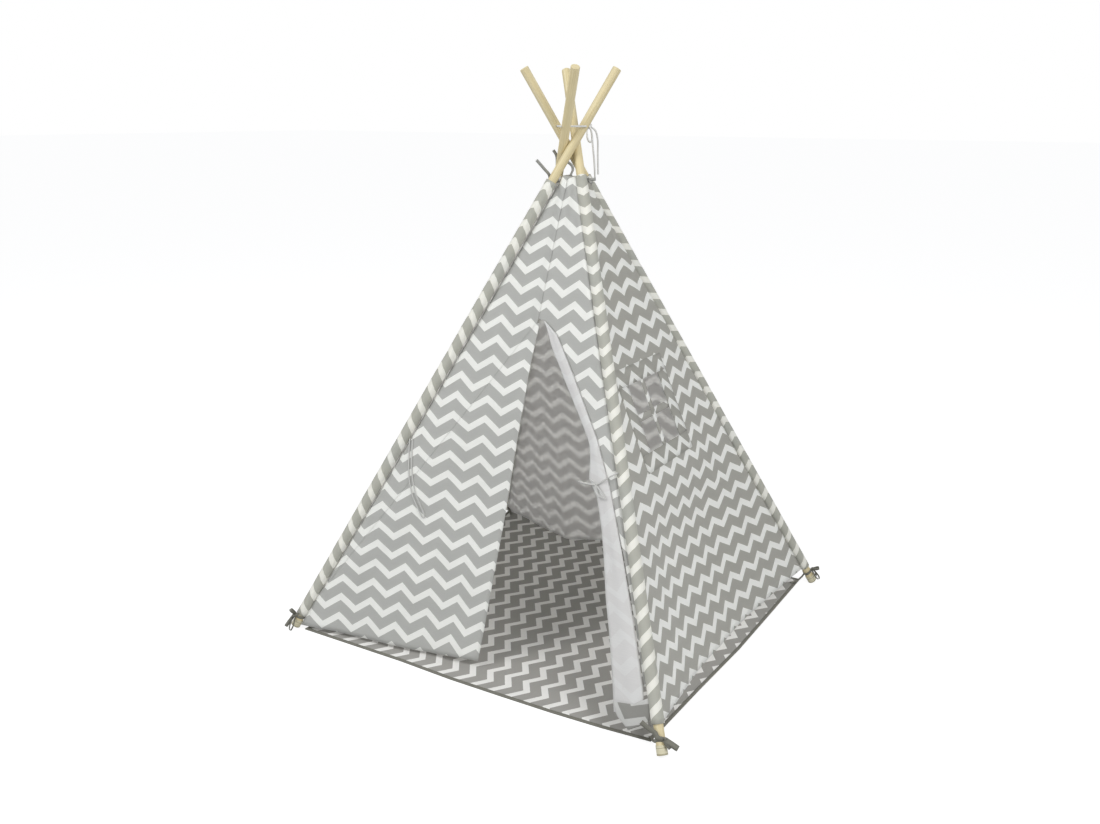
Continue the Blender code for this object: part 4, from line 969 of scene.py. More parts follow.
def flap_left_shape(x, z, share):
    fade = smooth_step((share - FLAP_FLAT_SHARE) / FLAP_FLAT_SHARE)
    low = smooth_step((FLAP_FOLD_TOP_Z - z) / FLAP_FOLD_TOP_Z)
    wave = 0.5 - 0.5 * math.cos(2.0 * math.pi * (share * 2.5 + 0.25))
    loose = smooth_step(share / 0.15)
    return (overlap_lift(x) + FLAP_LEFT_FOLD * wave * fade * low - flap_fall(x, z)
            + rumple(x, z, FLAP_LEFT_RUMPLE, 5.0) * loose), 0.0


piece = lay_cloth("door_left_canvas", front, spread(FLAP_LEFT_TOP_Z, FLAP_LEFT_HEM[-1][1], 72),
                  lambda x: along(FLAP_LEFT_HEM, x), flap_left_outer,
                  lambda z: along(FLAP_LEFT_EDGE, z), flap_left_shape, 44,
                  [front_left_print, reverse], front_left_lay)
thicken(piece)
hang(piece, "door_left", ["door_flap_left"])

# Door, right half
# The right half is folded into a narrow bundle along the pole, tied a little above its middle
# and open towards the floor. Its pale reverse is outside, with the print showing faintly.
FOLD_WIDTH = in_mm(
    (906.0, 3.0), (876.0, 27.0), (849.0, 33.0), (771.0, 34.0), (700.0, 30.0), (630.0, 28.0),
    (590.0, 40.0), (552.0, 57.0), (515.0, 44.0), (444.0, 48.0), (293.0, 70.0), (112.0, 84.0),
    (46.0, 88.0))
FOLD_DEPTH = in_mm(
    (906.0, 1.5), (860.0, 3.0), (740.0, 6.0), (600.0, 8.0), (391.0, 8.0), (112.0, 9.0),
    (46.0, 6.5))
FOLD_TOP_Z = 906.0 * MM
FOLD_FOOT_Z = 62.0 * MM
FOLD_BACK_LIFT = 1.2 * MM
FOLD_EDGE_DEPTH = 2.2 * MM
FOLD_LINE_GAP = 0.5 * MM
FOLD_LAYERS = 6
FOLD_ROWS = 82
FOLD_STEPS = 14
FOLD_RIPPLE = 0.9 * MM
FOLD_RIPPLE_WIDTH = 60.0 * MM
FOLD_TURN_IN = 0.4 * MM
FOLD_RUMPLE = (30.0 * MM, 1.2 * MM)
FOLD_CLOTH = 0.35 * MM
FOLD_LIGHT_IN = 0.1
# The bundle shows the canvas's reverse: pale, with the print showing faintly. The printed face, where
# the hem's corner is turned out, is a darker copy of the front's print: painted shade on the
# turned-out corner.
pale_reverse = printed_cotton("cotton_pale_reverse", "#D6D5D3", "#DBDBD9", ZIGZAG_PLAIN,
                              FOLD_LIGHT_IN)
# Painted shade: the front's print, made darker for the turned-out corner.
turned_print_shaded = printed_cotton("printed_cotton_turned_shaded", "#8F8E89", "#C6C6C2", ZIGZAG_FRONT_RIGHT,
                              FOLD_LIGHT_IN)
# The bundle's two faces have the first two finishes, the turned-out corner's have the others.
flap_finishes = [pale_reverse, pale_reverse, turned_print_shaded, pale_reverse]
CORNER_FINISH = 2


def fold_outer(z):
    """The bundle's edge towards the pole."""
    return min(strip_right_x(z), front.right_edge(z) - FOLD_LINE_GAP) - FOLD_LINE_GAP


TURNOVER_TOP = in_mm((444.0, 84.5), (496.0, 92.0), (532.0, 117.0), (540.0, 110.0))
TURNOVER_HEM = in_mm((444.0, 83.0), (461.0, 57.0), (496.0, 36.0), (523.0, 52.0), (540.0, 66.0))
TURNOVER_COLUMNS = 30
TURNOVER_ROWS = 14
TURNOVER_LIFT = 11.5 * MM
TURNOVER_ROLL = 3.0 * MM
TURNOVER_DROP = 6.0 * MM
TURNOVER_RUMPLE = (20.0 * MM, 1.5 * MM)
TURNOVER_MIDDLE = (480.0 * MM, 47.0 * MM)
TURNOVER_PRINT = (71.7 * MM, 40.6 * MM)
TURNOVER_TURN = math.radians(-15.0)


def turnover():
    """The corner of the flap's hem is turned out, so its printed face shows."""
    points, cut = [], []
    for i in range(TURNOVER_COLUMNS + 1):
        across = i / TURNOVER_COLUMNS
        x = TURNOVER_HEM[0][0] + (TURNOVER_HEM[-1][0] - TURNOVER_HEM[0][0]) * across
        low, high = along(TURNOVER_HEM, x), along(TURNOVER_TOP, x)
        for j in range(TURNOVER_ROWS + 1):
            z = low + (high - low) * j / TURNOVER_ROWS
            roll = math.sin(math.pi * j / TURNOVER_ROWS) * math.sin(math.pi * across)
            lift = (TURNOVER_LIFT + TURNOVER_ROLL * roll
                    - TURNOVER_DROP * smooth_step((across - 0.8) / 0.2)
                    + rumple(x, z, TURNOVER_RUMPLE, 41.0))
            points.append(front.point(x, z, lift))
            a, b = x - TURNOVER_MIDDLE[0], (z - TURNOVER_MIDDLE[1]) / front.slope
            u = a * math.cos(TURNOVER_TURN) + b * math.sin(TURNOVER_TURN)
            v = b * math.cos(TURNOVER_TURN) - a * math.sin(TURNOVER_TURN)
            cut.append((TURNOVER_PRINT[0] + u, TURNOVER_PRINT[1] + v))
    faces = grid_faces(TURNOVER_COLUMNS, TURNOVER_ROWS, down_first=True)
    piece = cloth_mesh("turnover", points, faces, cut, flap_finishes)
    for polygon in piece.data.polygons:
        polygon.material_index = CORNER_FINISH
    return piece


def folded_flap():
    """The bundle: the flap's cloth goes to and fro in layers, one row of points at each height."""
    points, cut = [], []
    for i in range(FOLD_ROWS + 1):
        z = FOLD_TOP_Z + (FOLD_FOOT_Z - FOLD_TOP_Z) * i / FOLD_ROWS
        outer = fold_outer(z)
        width = along(FOLD_WIDTH, z)
        depth = along(FOLD_DEPTH, z)
        loose = min(1.0, width / FOLD_RIPPLE_WIDTH)
        run = 0.0
        last = None
        for layer in range(FOLD_LAYERS):
            height = (layer + 0.5) / FOLD_LAYERS
            for k in range(FOLD_STEPS + 1):
                share = k / FOLD_STEPS if layer % 2 else 1.0 - k / FOLD_STEPS
                turn = smooth_step(min(k, FOLD_STEPS - k) / 2.0)
                crown = math.sin(math.pi * min(1.0, max(0.0, share))) ** 0.6
                top = FOLD_EDGE_DEPTH + depth * crown * 0.7
                ripple = FOLD_RIPPLE * math.sin(3.0 * math.pi * share + 2.2 * layer) * crown
                lift = FOLD_BACK_LIFT + top * height + ripple * loose * height
                if layer == FOLD_LAYERS - 1:
                    lift += rumple(share * 0.08, z, FOLD_RUMPLE, 8.0) * crown
                inset = FOLD_TURN_IN * (FOLD_LAYERS - layer) * (1.0 - turn)
                x = outer - width * share + (inset if share > 0.5 else -inset)
                p = front.point(x, z, lift)
                if last is not None:
                    run += (p - last).length
                last = p
                points.append(p)
                cut.append((run, z / front.slope))
    faces = grid_faces(FOLD_ROWS, FOLD_LAYERS * (FOLD_STEPS + 1) - 1)
    piece = cloth_mesh("door_right_canvas", points, faces, cut, flap_finishes)
    piece = joined("door_right_canvas", [piece, turnover()])
    thicken(piece, FOLD_CLOTH)
    return piece


piece = folded_flap()
hang(piece, "door_right", ["door_flap_right"])

# Left side
# The left side is a whole wedge of canvas with no opening. It sags between its two sleeves
# and stands in soft upright folds near the floor.
HEM_LEFT_Z = 52.0 * MM
HEM_LEFT = in_mm((-547.0, 52.0), (150.0, 50.0), (480.0, 15.0), (547.0, 6.5))
FOLD_LEFT = 9.0 * MM
SAG_LEFT = in_mm((52.0, 38.0), (300.0, 40.0), (600.0, 26.0), (1000.0, 10.0), (1250.0, 2.0))
SIDE_RUMPLE = (100.0 * MM, 1.8 * MM)
# The sides are the same canvas as the front, with a darker grey ground: painted shade on the sides.
SHADED_GROUND_SIDES = "#9A9991"
plain_print = printed_cotton("printed_cotton_left", SHADED_GROUND_SIDES, STRIPE_WHITE, ZIGZAG_PLAIN,
                             LIGHT_IN)
left = Side((0, 1, 0), (-1, 0, 0), HALF_X, "fl", "bl")


def ridge(share, count, phase=0.0):
    """Soft upright folds across a side, flat at both sleeves."""
    wave = 0.5 - 0.5 * math.cos(2.0 * math.pi * (share * count + phase))
    return wave * smooth_step(share / 0.2) * smooth_step((1.0 - share) / 0.2)


def sag(table, z, share):
    """How far the cloth sags inwards at a height, most in the middle."""
    return along(table, z) * (1.0 - (2.0 * share - 1.0) ** 2)


def side_detail(side, x, z, share, seed):
    """The crease at each sleeve, the pleats at the top and the unevenness between."""
    width = side.right_edge(z) - side.left_edge(z)
    free = smooth_step(share / 0.2) * smooth_step((1.0 - share) / 0.2)
    return tuck(share, width) + (gathers(x, z, seed) + rumple(x, z, SIDE_RUMPLE, seed)) * free


def left_shape(y, z, share):
    low = smooth_step((COVER_TOP_Z - z) / COVER_TOP_Z)
    return (FOLD_LEFT * ridge(share, 3.0, 0.2) * low - sag(SAG_LEFT, z, share)
            + side_detail(left, y, z, share, 11.0)), 0.0


piece = lay_cloth("left_side_canvas", left, spread(COVER_TOP_Z, HEM_LEFT_Z, 90),
                  lambda y: along(HEM_LEFT, y), left.left_edge, left.right_edge, left_shape, 64,
                  [plain_print, reverse])
thicken(piece)
hang(piece, "side_left", ["cover_left"])

# Back side
# The back is a whole wedge too. It is cut a little long, so its hem slides in over the mat and
# the cloth above it falls in a broad curve. At the left it passes inside the sleeve.
HEM_BACK = in_mm(
    (-580.0, 9.8), (-565.0, 8.4), (-540.0, 5.8), (-420.0, 5.2), (-247.0, 5.6), (-100.0, 10.0),
    (200.0, 36.0), (580.0, 50.0))
BACK_DRAPE = in_mm(
    (-560.0, 24.0), (-529.0, 29.0), (-493.0, 39.0), (-448.0, 53.0), (-387.0, 76.0),
    (-321.0, 98.0), (-247.0, 130.0), (-143.0, 74.0), (60.0, 24.0), (300.0, 10.0), (535.0, 0.0))
BACK_DRAPE_Z = 640.0 * MM
BACK_WRAP = 13.0 * MM
BACK_WRAP_RUN = 45.0 * MM
BACK_WRAP_PAST = 7.0 * MM
BACK_WRAP_HIGH = 300.0 * MM
FOLD_BACK = 7.0 * MM
SAG_BACK = in_mm((40.0, 12.0), (300.0, 26.0), (600.0, 28.0), (1000.0, 10.0), (1250.0, 2.0))
BACK_SKEW = ((-0.246, 0.380), (0.262, 0.360), (-3.5, -4.0, -6.7), (-10.0, 3.7, -7.1))
ZIGZAG_BACK = (83.7, 34.3, 60.84, -0.0265, -2.1, 0.06, 0.385)
back_print = printed_cotton("printed_cotton_back", SHADED_GROUND_SIDES, STRIPE_WHITE, ZIGZAG_BACK,
                            LIGHT_IN)
# The back's inner face takes the same darker reverse: painted shade of the tent's inside.
back_reverse_shaded = printed_cotton("cotton_reverse_back", SHADED_REVERSE_GROUND, SHADED_REVERSE_STRIPE, ZIGZAG_BACK,
                              LIGHT_OUT)
back = Side((1, 0, 0), (0, 1, 0), HALF_Y, "bl", "br")


def wrapped(z):
    """How far the wrap round the left sleeve has come in at a height."""
    return smooth_step((COVER_TOP_Z - z) / BACK_WRAP_HIGH)


def back_left_edge(z):
    """The back passes inside the left sleeve, which it covers from within."""
    return back.left_edge(z) - BACK_WRAP_PAST * wrapped(z)


def back_shape(x, z, share):
    low = max(0.0, (BACK_DRAPE_Z - z) / BACK_DRAPE_Z) ** 1.7
    fold = FOLD_BACK * ridge(share, 4.0, 0.3) * smooth_step((COVER_TOP_Z - z) / COVER_TOP_Z)
    at_sleeves = smooth_step(share / 0.035) * smooth_step((1.0 - share) / 0.15)
    detail = side_detail(back, x, z, share, 17.0)
    wrap = BACK_WRAP * wrapped(z) * (1.0 - smooth_step((x - back_left_edge(z)) / BACK_WRAP_RUN))
    return fold - sag(SAG_BACK, z, share) + detail - wrap, along(BACK_DRAPE, x) * low * at_sleeves


piece = lay_cloth("back_side_canvas", back, spread(COVER_TOP_Z, HEM_BACK[0][1], 90),
                  lambda x: along(HEM_BACK, x), back_left_edge, back.right_edge, back_shape, 70,
                  [back_print, back_reverse_shaded], BACK_SKEW)
thicken(piece)
hang(piece, "side_back", ["cover_back"])

# Right side and its window
# The right side has a square opening, faced all round with four strips of the same canvas and
# crossed behind by two narrow straps. All are stitched close to their edges.
HEM_RIGHT_Z = 58.0 * MM
FOLD_RIGHT = 5.0 * MM
SAG_RIGHT = in_mm(
    (58.0, 50.0), (280.0, 50.0), (450.0, 36.0), (610.0, 16.0), (1000.0, 10.0), (1250.0, 2.0))
RIGHT_RUMPLE = (100.0 * MM, 2.0 * MM)
RIGHT_SKEW = ((0.028, 0.469), (0.359, 0.534), (-3.3, -8.4, -8.5), (0.5, 4.4, 2.1))
WINDOW_Y = -49.0 * MM
WINDOW_Z = 668.0 * MM
WINDOW_WIDE = 178.0 * MM
WINDOW_HIGH = 186.0 * MM
FRAME_STRIP = 46.0 * MM
FRAME_OVERHANG = 1.5 * MM
FRAME_THICK = 1.2 * MM
FRAME_CLOTH = 0.9 * MM
FRAME_CLEAR = 0.2 * MM
CROSS_STRAP = 20.0 * MM
CROSS_TUCK = 14.0 * MM
CROSS_THICK = 1.2 * MM
CROSS_CLOTH = 0.8 * MM
CROSS_OVER = 0.9 * MM
WINDOW_FLAT = 175.0 * MM
GAP = 0.3 * MM
BISECT_REACH = 0.01 * MM
STRIP_STEP = 12.0 * MM
CROSS_STEP = 10.0 * MM
STRIP_RUMPLE = (30.0 * MM, 0.25 * MM)
# Where each strip is cut from the printed canvas: across it and up it, in metres.
FACING_CUT = {"top": (0.004, 0.306), "bottom": (-0.044, 0.356), "front": (0.008, 0.366),
              "back": (0.018, 0.359)}
CROSS_CUT = {"upright": (0.018, 0.3), "level": (0.0, 0.33)}
ZIGZAG_RIGHT = (80.0, 27.0, 55.79, 0.0004, 12.7, 0.05, 0.385)
ZIGZAG_FACING = (80.0, 36.0, 55.0, 0.0, 0.0, 0.0, 0.385)
right_print = printed_cotton("printed_cotton_right", SHADED_GROUND_SIDES, STRIPE_WHITE, ZIGZAG_RIGHT,
                             LIGHT_IN)
facing_print = printed_cotton("printed_cotton_facing", SHADED_GROUND_SIDES, STRIPE_WHITE, ZIGZAG_FACING,
                              LIGHT_IN)
right = Side((0, 1, 0), (1, 0, 0), HALF_X, "fr", "br")


def right_shape(y, z, share):
    """The right side is flat round its window, which the facing stiffens."""
    near_window = max(abs(y - WINDOW_Y) - WINDOW_WIDE / 2 - FRAME_STRIP,
                      abs(z - WINDOW_Z) - WINDOW_HIGH / 2 - FRAME_STRIP)
    free = smooth_step(near_window / WINDOW_FLAT)
    width = right.right_edge(z) - right.left_edge(z)
    return ((FOLD_RIGHT * ridge(share, 3.0, 0.15) - sag(SAG_RIGHT, z, share)
             + gathers(y, z, 23.0) * smooth_step(share / 0.2) * smooth_step((1.0 - share) / 0.2)
             + rumple(y, z, RIGHT_RUMPLE, 23.0)) * free
            + tuck(share, width) * min(1.0, 0.35 + free)), 0.0


def window_place(x, y, lift):
    """A point on the window: x across it, y up the slope from its middle."""
    return right.point(WINDOW_Y, WINDOW_Z, lift) + right.across * x - right.down * y


piece = lay_cloth("right_side_canvas", right, spread(COVER_TOP_Z, HEM_RIGHT_Z, 90),
                  lambda y: HEM_RIGHT_Z, right.left_edge, right.right_edge, right_shape, 64,
                  [right_print, reverse], RIGHT_SKEW)
work = bmesh.new()
work.from_mesh(piece.data)
middle = window_place(0.0, 0.0, 0.0)
cuts = ((right.across, WINDOW_WIDE / 2), (-right.across, WINDOW_WIDE / 2),
        (-right.down, WINDOW_HIGH / 2), (right.down, WINDOW_HIGH / 2))
for way, reach in cuts:
    bmesh.ops.bisect_plane(work, geom=work.verts[:] + work.edges[:] + work.faces[:],
                           dist=BISECT_REACH, plane_co=middle + way * reach, plane_no=way)
open_faces = [face for face in work.faces
              if all((face.calc_center_median() - middle).dot(way) < reach for way, reach in cuts)]
bmesh.ops.delete(work, geom=open_faces, context="FACES")
work.to_mesh(piece.data)
work.free()
thicken(piece)
hang(piece, "side_right", ["cover_right"])


def strip(name, low, high, lift, material, place, step):
    """A flat strip of canvas on the window, cut from the cloth at a place of its own."""
    points, cut = [], []
    count_x = max(2, round((high[0] - low[0]) / step))
    count_y = max(2, round((high[1] - low[1]) / step))
    for j in range(count_y + 1):
        for i in range(count_x + 1):
            x = low[0] + (high[0] - low[0]) * i / count_x
            y = low[1] + (high[1] - low[1]) * j / count_y
            points.append(window_place(x, y, lift + rumple(x, y, STRIP_RUMPLE, place[0] * 100)))
            cut.append((x + place[0], y + place[1]))
    return cloth_mesh(name, points, grid_faces(count_y, count_x), cut, [material, reverse])


frame_lift = CLOTH / 2 + GAP + FRAME_THICK / 2 + FRAME_CLEAR
inner_x, inner_y = WINDOW_WIDE / 2 - FRAME_OVERHANG, WINDOW_HIGH / 2 - FRAME_OVERHANG
outer_x, outer_y = WINDOW_WIDE / 2 + FRAME_STRIP, WINDOW_HIGH / 2 + FRAME_STRIP
facing = {"top": ((-outer_x, inner_y), (outer_x, outer_y)),
          "bottom": ((-outer_x, -outer_y), (outer_x, -inner_y)),
          "front": ((-outer_x, -inner_y), (-inner_x, inner_y)),
          "back": ((inner_x, -inner_y), (outer_x, inner_y))}
piece = joined("window_facing", [
    strip(name, low, high, frame_lift, facing_print, FACING_CUT[name], STRIP_STEP)
    for name, (low, high) in facing.items()])
thicken(piece, FRAME_CLOTH)
hang(piece, "side_right", ["window_frame"])
cross_lift = -(CLOTH / 2 + GAP + CROSS_THICK / 2)
wide, high, half = WINDOW_WIDE / 2 + CROSS_TUCK, WINDOW_HIGH / 2 + CROSS_TUCK, CROSS_STRAP / 2
piece = joined("window_straps", [
    strip("upright", (-half, -high), (half, high), cross_lift, right_print, CROSS_CUT["upright"],
          CROSS_STEP),
    strip("level", (-wide, -half), (wide, half), cross_lift - CROSS_OVER, right_print,
          CROSS_CUT["level"], CROSS_STEP)])
thicken(piece, CROSS_CLOTH)
hang(piece, "side_right", ["window_cross"])

# Floor mat
# A separate square of heavier printed canvas lies on the floor inside the poles, its zigzags
# running front to back. A narrow bias binding is folded over its edge and stitched.
MAT_OUTLINE = in_mm(
    (-553.0, -541.0), (-208.0, -533.0), (-34.0, -536.0), (124.0, -532.0), (270.0, -527.0),
    (407.0, -518.0), (537.0, -504.0), (539.0, -411.0), (543.0, -231.0), (552.0, 17.0),
    (551.0, 260.0), (549.0, 539.0), (260.0, 528.0), (0.0, 526.0), (-280.0, 529.0),
    (-571.0, 540.0), (-555.0, 476.0), (-543.0, 270.0), (-541.0, 0.0), (-544.0, -270.0))
MAT_CELLS = 84
MAT_CLOTH = 1.6 * MM
MAT_MIDDLE = 1.7 * MM
MAT_RUMPLE = (110.0 * MM, 0.7 * MM)
MAT_RISE = 0.4 * MM
MAT_DIP = 0.3 * MM
MAT_EDGE_SHARE = 0.06
BINDING_WIDE = 9.0 * MM
BINDING_THICK = 4.2 * MM
BINDING_STEP = 30.0 * MM
BINDING_CUT = 3.0 * MM
BINDING_PUFF = 0.03
# The folded tape in section, as shares of its width inwards and of its height.
BINDING_SHARES = ((0.0, 0.30), (0.0, 0.72), (0.08, 0.95), (0.25, 1.0), (0.8, 0.93), (1.0, 0.82),
                  (1.0, 0.14), (0.8, 0.0), (0.25, 0.0), (0.08, 0.05))
ZIGZAG_MAT = (77.9, 28.5, 55.68, 0.0239, 22.8, 0.82, 0.375)
MAT_SKEW = ((-0.043, -0.025), (0.509, 0.420), (16.8, -11.3, 6.9), (-3.3, 4.3, 2.0))
mat_print = printed_cotton("printed_canvas_mat", "#A5A39E", "#F3F2EE", ZIGZAG_MAT, 0.0)
front_line = MAT_OUTLINE[0:7]
right_line = MAT_OUTLINE[6:12]
back_line = MAT_OUTLINE[11:16]
left_line = MAT_OUTLINE[15:] + MAT_OUTLINE[:1]


def mat_point(across, deep):
    """A point of the mat from its shares across and front to back."""
    inset = BINDING_WIDE / 2
    y = MAT_OUTLINE[0][1] + (MAT_OUTLINE[11][1] - MAT_OUTLINE[0][1]) * deep
    for _ in range(3):
        low_x = along([(q, p) for p, q in left_line], y) + inset
        high_x = along([(q, p) for p, q in right_line], y) - inset
        x = low_x + (high_x - low_x) * across
        low_y = along(front_line, x) + inset
        high_y = along(back_line, x) - inset
        y = low_y + (high_y - low_y) * deep
    return x, y


points, cut = [], []
for j in range(MAT_CELLS + 1):
    for i in range(MAT_CELLS + 1):
        x, y = mat_point(i / MAT_CELLS, j / MAT_CELLS)
        near = min(i, j, MAT_CELLS - i, MAT_CELLS - j) / MAT_CELLS
        ripple = (rumple(x, y, MAT_RUMPLE, 31.0) + MAT_RISE) * smooth_step(near / MAT_EDGE_SHARE)
        points.append(Vector((x, y, MAT_MIDDLE + max(-MAT_DIP, ripple))))
        cut.append(drawn(MAT_SKEW, y, x))
piece = cloth_mesh("mat_canvas", points, grid_faces(MAT_CELLS, MAT_CELLS), cut,
                   [mat_print, mat_print])
thicken(piece, MAT_CLOTH)
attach(piece, "ground_mat")
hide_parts("floor_mat")

# A wave texture of scale 1 repeats every 314.16 mm.
WAVE_MM = 1000 * math.pi / 10
BINDING_RIB_MM = 1.208
BINDING_RIB_DEEP = 0.3 * MM


def ribbed_tape(name, dark, light, rib_mm, rib_deep, uneven, rough, sheen):
    """Woven cotton tape: dull and even, with fine ribs across it. The darker tone in the hollows
    between the ribs is painted shade.
    """
    material, tree, shader = new_material(name)
    cut_map = node(tree, "UVMap", uv_map="cut")
    ribs = node(tree, "TexWave", {"Vector": cut_map.outputs[0], "Distortion": uneven,
                                  "Scale": WAVE_MM / rib_mm}, bands_direction="Y")
    # Painted shade: the colour falls to the darker tone in the hollows between the ribs.
    tone = node(tree, "Mix", {"Factor": ribs.outputs["Fac"], "A": linear(dark), "B": linear(light)},
                data_type="RGBA")
    tree.links.new(tone.outputs["Result"], shader.inputs["Base Color"])
    shader.inputs["Roughness"].default_value = rough
    shader.inputs["Sheen Weight"].default_value = sheen
    bump = node(tree, "Bump", {"Height": ribs.outputs["Fac"], "Strength": 0.4, "Distance": rib_deep})
    tree.links.new(bump.outputs[0], shader.inputs["Normal"])
    return material


binding_tape = ribbed_tape("cotton_bias_binding", "#6F6E65", "#86857B", BINDING_RIB_MM,
                           BINDING_RIB_DEEP, 1.0, 0.85, 0.0)


def inset(outline, distance):
    """The outline moved inwards."""
    result = []
    for i, here in enumerate(outline):
        first = (here - outline[i - 1]).normalized()
        second = (outline[(i + 1) % len(outline)] - here).normalized()
        side = Vector((-first.y, first.x))
        normal = (side + Vector((-second.y, second.x))).normalized()
        result.append(here + normal * (distance / max(0.3, normal.dot(side))))
    return result


def binding():
    """The folded tape: its round fold outside, its two edges on the mat."""
    fine = []
    for i in range(len(MAT_OUTLINE)):
        a, b = Vector(MAT_OUTLINE[i]), Vector(MAT_OUTLINE[(i + 1) % len(MAT_OUTLINE)])
        steps = max(1, round((b - a).length / BINDING_STEP))
        fine += [a.lerp(b, k / steps) for k in range(steps)]
    rings = [inset(fine, BINDING_WIDE * share) for share, height in BINDING_SHARES]
    points, cut, run = [], [], 0.0
    for i in range(len(fine)):
        if i:
            run += (fine[i] - fine[i - 1]).length
        for k, (share, height) in enumerate(BINDING_SHARES):
            puff = 1.0 + BINDING_PUFF * noise.noise(Vector((run * 30.0, k * 0.2, 4.0)))
            x, y = rings[k][i]
            points.append(Vector((x, y, min(BINDING_THICK, BINDING_THICK * height * puff))))
            cut.append((k * BINDING_CUT, run))
    ring = len(BINDING_SHARES)
    count = len(fine)
    faces = [(((i + 1) % count) * ring + k, ((i + 1) % count) * ring + (k + 1) % ring,
              i * ring + (k + 1) % ring, i * ring + k) for i in range(count) for k in range(ring)]
    return cloth_mesh("mat_binding_tape", points, faces, cut, [binding_tape])


piece = binding()
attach(piece, "ground_mat")
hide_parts("mat_binding")

# Ribbon ties
# Flat woven ribbon, 8 mm wide: one at each corner of the mat, tied round the foot of its pole
# in a bow, and one at each corner of the cover's top, tied round the pole at the sleeve's end.
RIBBON_WIDE = 8.0 * MM
RIBBON_THICK = 0.9 * MM
RIBBON_RING_R = 13.1 * MM
RIBBON_RING_WAVE = 1.2 * MM
RIBBON_RING_STEPS = 30
RIBBON_KNOT_OUT = 5.8 * MM
RIBBON_WRAP_R = 4.6 * MM
RIBBON_WRAP_STEPS = 16
RIBBON_RIB_MM = 0.952
RIBBON_RIB_DEEP = 0.2 * MM
CORNER_TIE_S = {"fl": 41.0 * MM, "fr": 42.0 * MM, "br": 46.0 * MM, "bl": 42.0 * MM}
TOP_TIE_S = {"fl": 1458.0 * MM, "fr": 1470.0 * MM, "br": 1470.0 * MM, "bl": 1466.0 * MM}
LOOP_SPREAD = 5.0 * MM
# A loop's outline, as shares of its length and of its spread.
LOOP_SHARES = ((0.0, 0.35), (0.35, 0.8), (0.75, 1.0), (0.97, 0.6), (1.0, 0.0), (0.97, -0.6),
               (0.75, -1.0), (0.35, -0.8), (0.0, -0.35))
BOW_WIDE = {"fr": 12.5 * MM}
# Steps in mm from the pole: out of the tent, sideways and up. A bow has the turn of its knot in
# degrees, then each loop's tip with the way it opens, then each tail with its wide way.
STRAP = {
    "fl": ((-16.0, 0.0, -17.0), (-26.0, 1.0, -23.0), (-40.0, 1.0, -27.6), (-56.0, 1.0, -29.0)),
    "fr": ((-16.0, 0.0, -17.0), (-26.0, 1.0, -24.0), (-44.0, 1.0, -29.6), (-62.0, 1.0, -30.6)),
    "br": ((-16.0, 0.0, -17.0), (-26.0, 1.0, -25.0), (-38.0, 1.0, -32.4), (-54.0, 1.0, -34.0)),
    "bl": ((-16.0, 0.0, -17.0), (-26.0, 1.0, -24.0), (-38.0, 1.0, -29.2), (-54.0, 1.0, -30.6)),
}
CORNER_BOWS = {
    "fl": (0.0, (((27.0, -8.0, 26.0), (0.0, 1.0, 0.0)), ((30.0, -36.0, -24.0), (1.0, 0.3, 0.0)),
                 ((43.0, -12.0, -23.0), (0.0, 1.0, 0.0))),
           ((((22.0, -14.0, 6.0), (12.0, -24.0, 14.0), (4.0, -26.0, 22.0)), (1.0, 0.0, 0.3)),)),
    "fr": (-15.0, (((34.3, -30.1, -7.0), (0.6, 0.3, 0.75)), ((26.0, -16.0, -8.0), (0.77, 0.32, 0.5))),
           ((((8.0, 10.0, 12.0), (-1.4, 14.4, 20.0), (-12.8, 26.6, 27.5), (-25.5, 39.5, 37.6)),
             (-0.1, 0.5, -0.8)),)),
    "br": (20.0, (((34.0, 12.0, 14.0), (0.0, 1.0, 0.0)), ((30.0, 24.0, -18.0), (1.0, 0.0, 0.0))),
           ((((28.0, 0.0, -6.0), (36.0, -8.0, -22.0)), (0.0, 1.0, 0.3)),)),
    "bl": (0.0, (((40.0, -27.0, 6.0), (0.0, 0.0, 1.0)), ((46.0, 22.0, -20.0), (0.0, 1.0, 0.0))),
           ((((28.0, 6.0, -10.0), (34.0, 10.0, -26.0)), (0.0, 1.0, 0.0)),)),
}
TOP_BOWS = {
    "fl": (90.0, (((-26.0, 14.0, 6.0), (0.2, -1.0, 0.0)),),
           ((((0.0, 17.0, 20.0), (16.0, 8.0, 38.0), (38.9, -2.6, 61.4)), (0.61, 0.06, -0.78)),)),
    "fr": (-90.0, (((16.0, -33.0, 3.0), (0.95, 0.3, 0.1)), ((11.0, -26.0, -8.0), (0.95, 0.3, 0.1))),
           ((((-20.0, -4.0, 2.0), (-23.7, 22.0, 8.0), (-22.0, 18.0, 25.0), (-23.0, 20.0, 36.0),
              (-27.0, 31.0, 46.0)), (-0.6, 0.5, -0.6)),)),
    "br": (-60.0, (((14.0, -32.0, -4.0), (0.0, 0.0, 1.0)),),
           ((((22.0, -24.0, -12.0), (30.0, -28.0, -26.0)), (1.0, -0.3, 0.0)),)),
    "bl": (0.0, (((34.0, -14.0, -6.0), (0.0, 0.0, 1.0)),),
           ((((17.0, 2.0, 30.0), (9.0, -1.0, 60.0), (7.9, -11.0, 77.1)), (0.15, -0.69, -0.71)),)),
}
olive_ribbon = ribbed_tape("woven_ribbon_corner", "#6B6A5F", "#85847A", RIBBON_RIB_MM,
                           RIBBON_RIB_DEEP, 0.6, 0.7, 0.1)
grey_ribbon = ribbed_tape("woven_ribbon_top", "#8E8E8A", "#B2B2AD", RIBBON_RIB_MM, RIBBON_RIB_DEEP,
                          0.6, 0.7, 0.1)


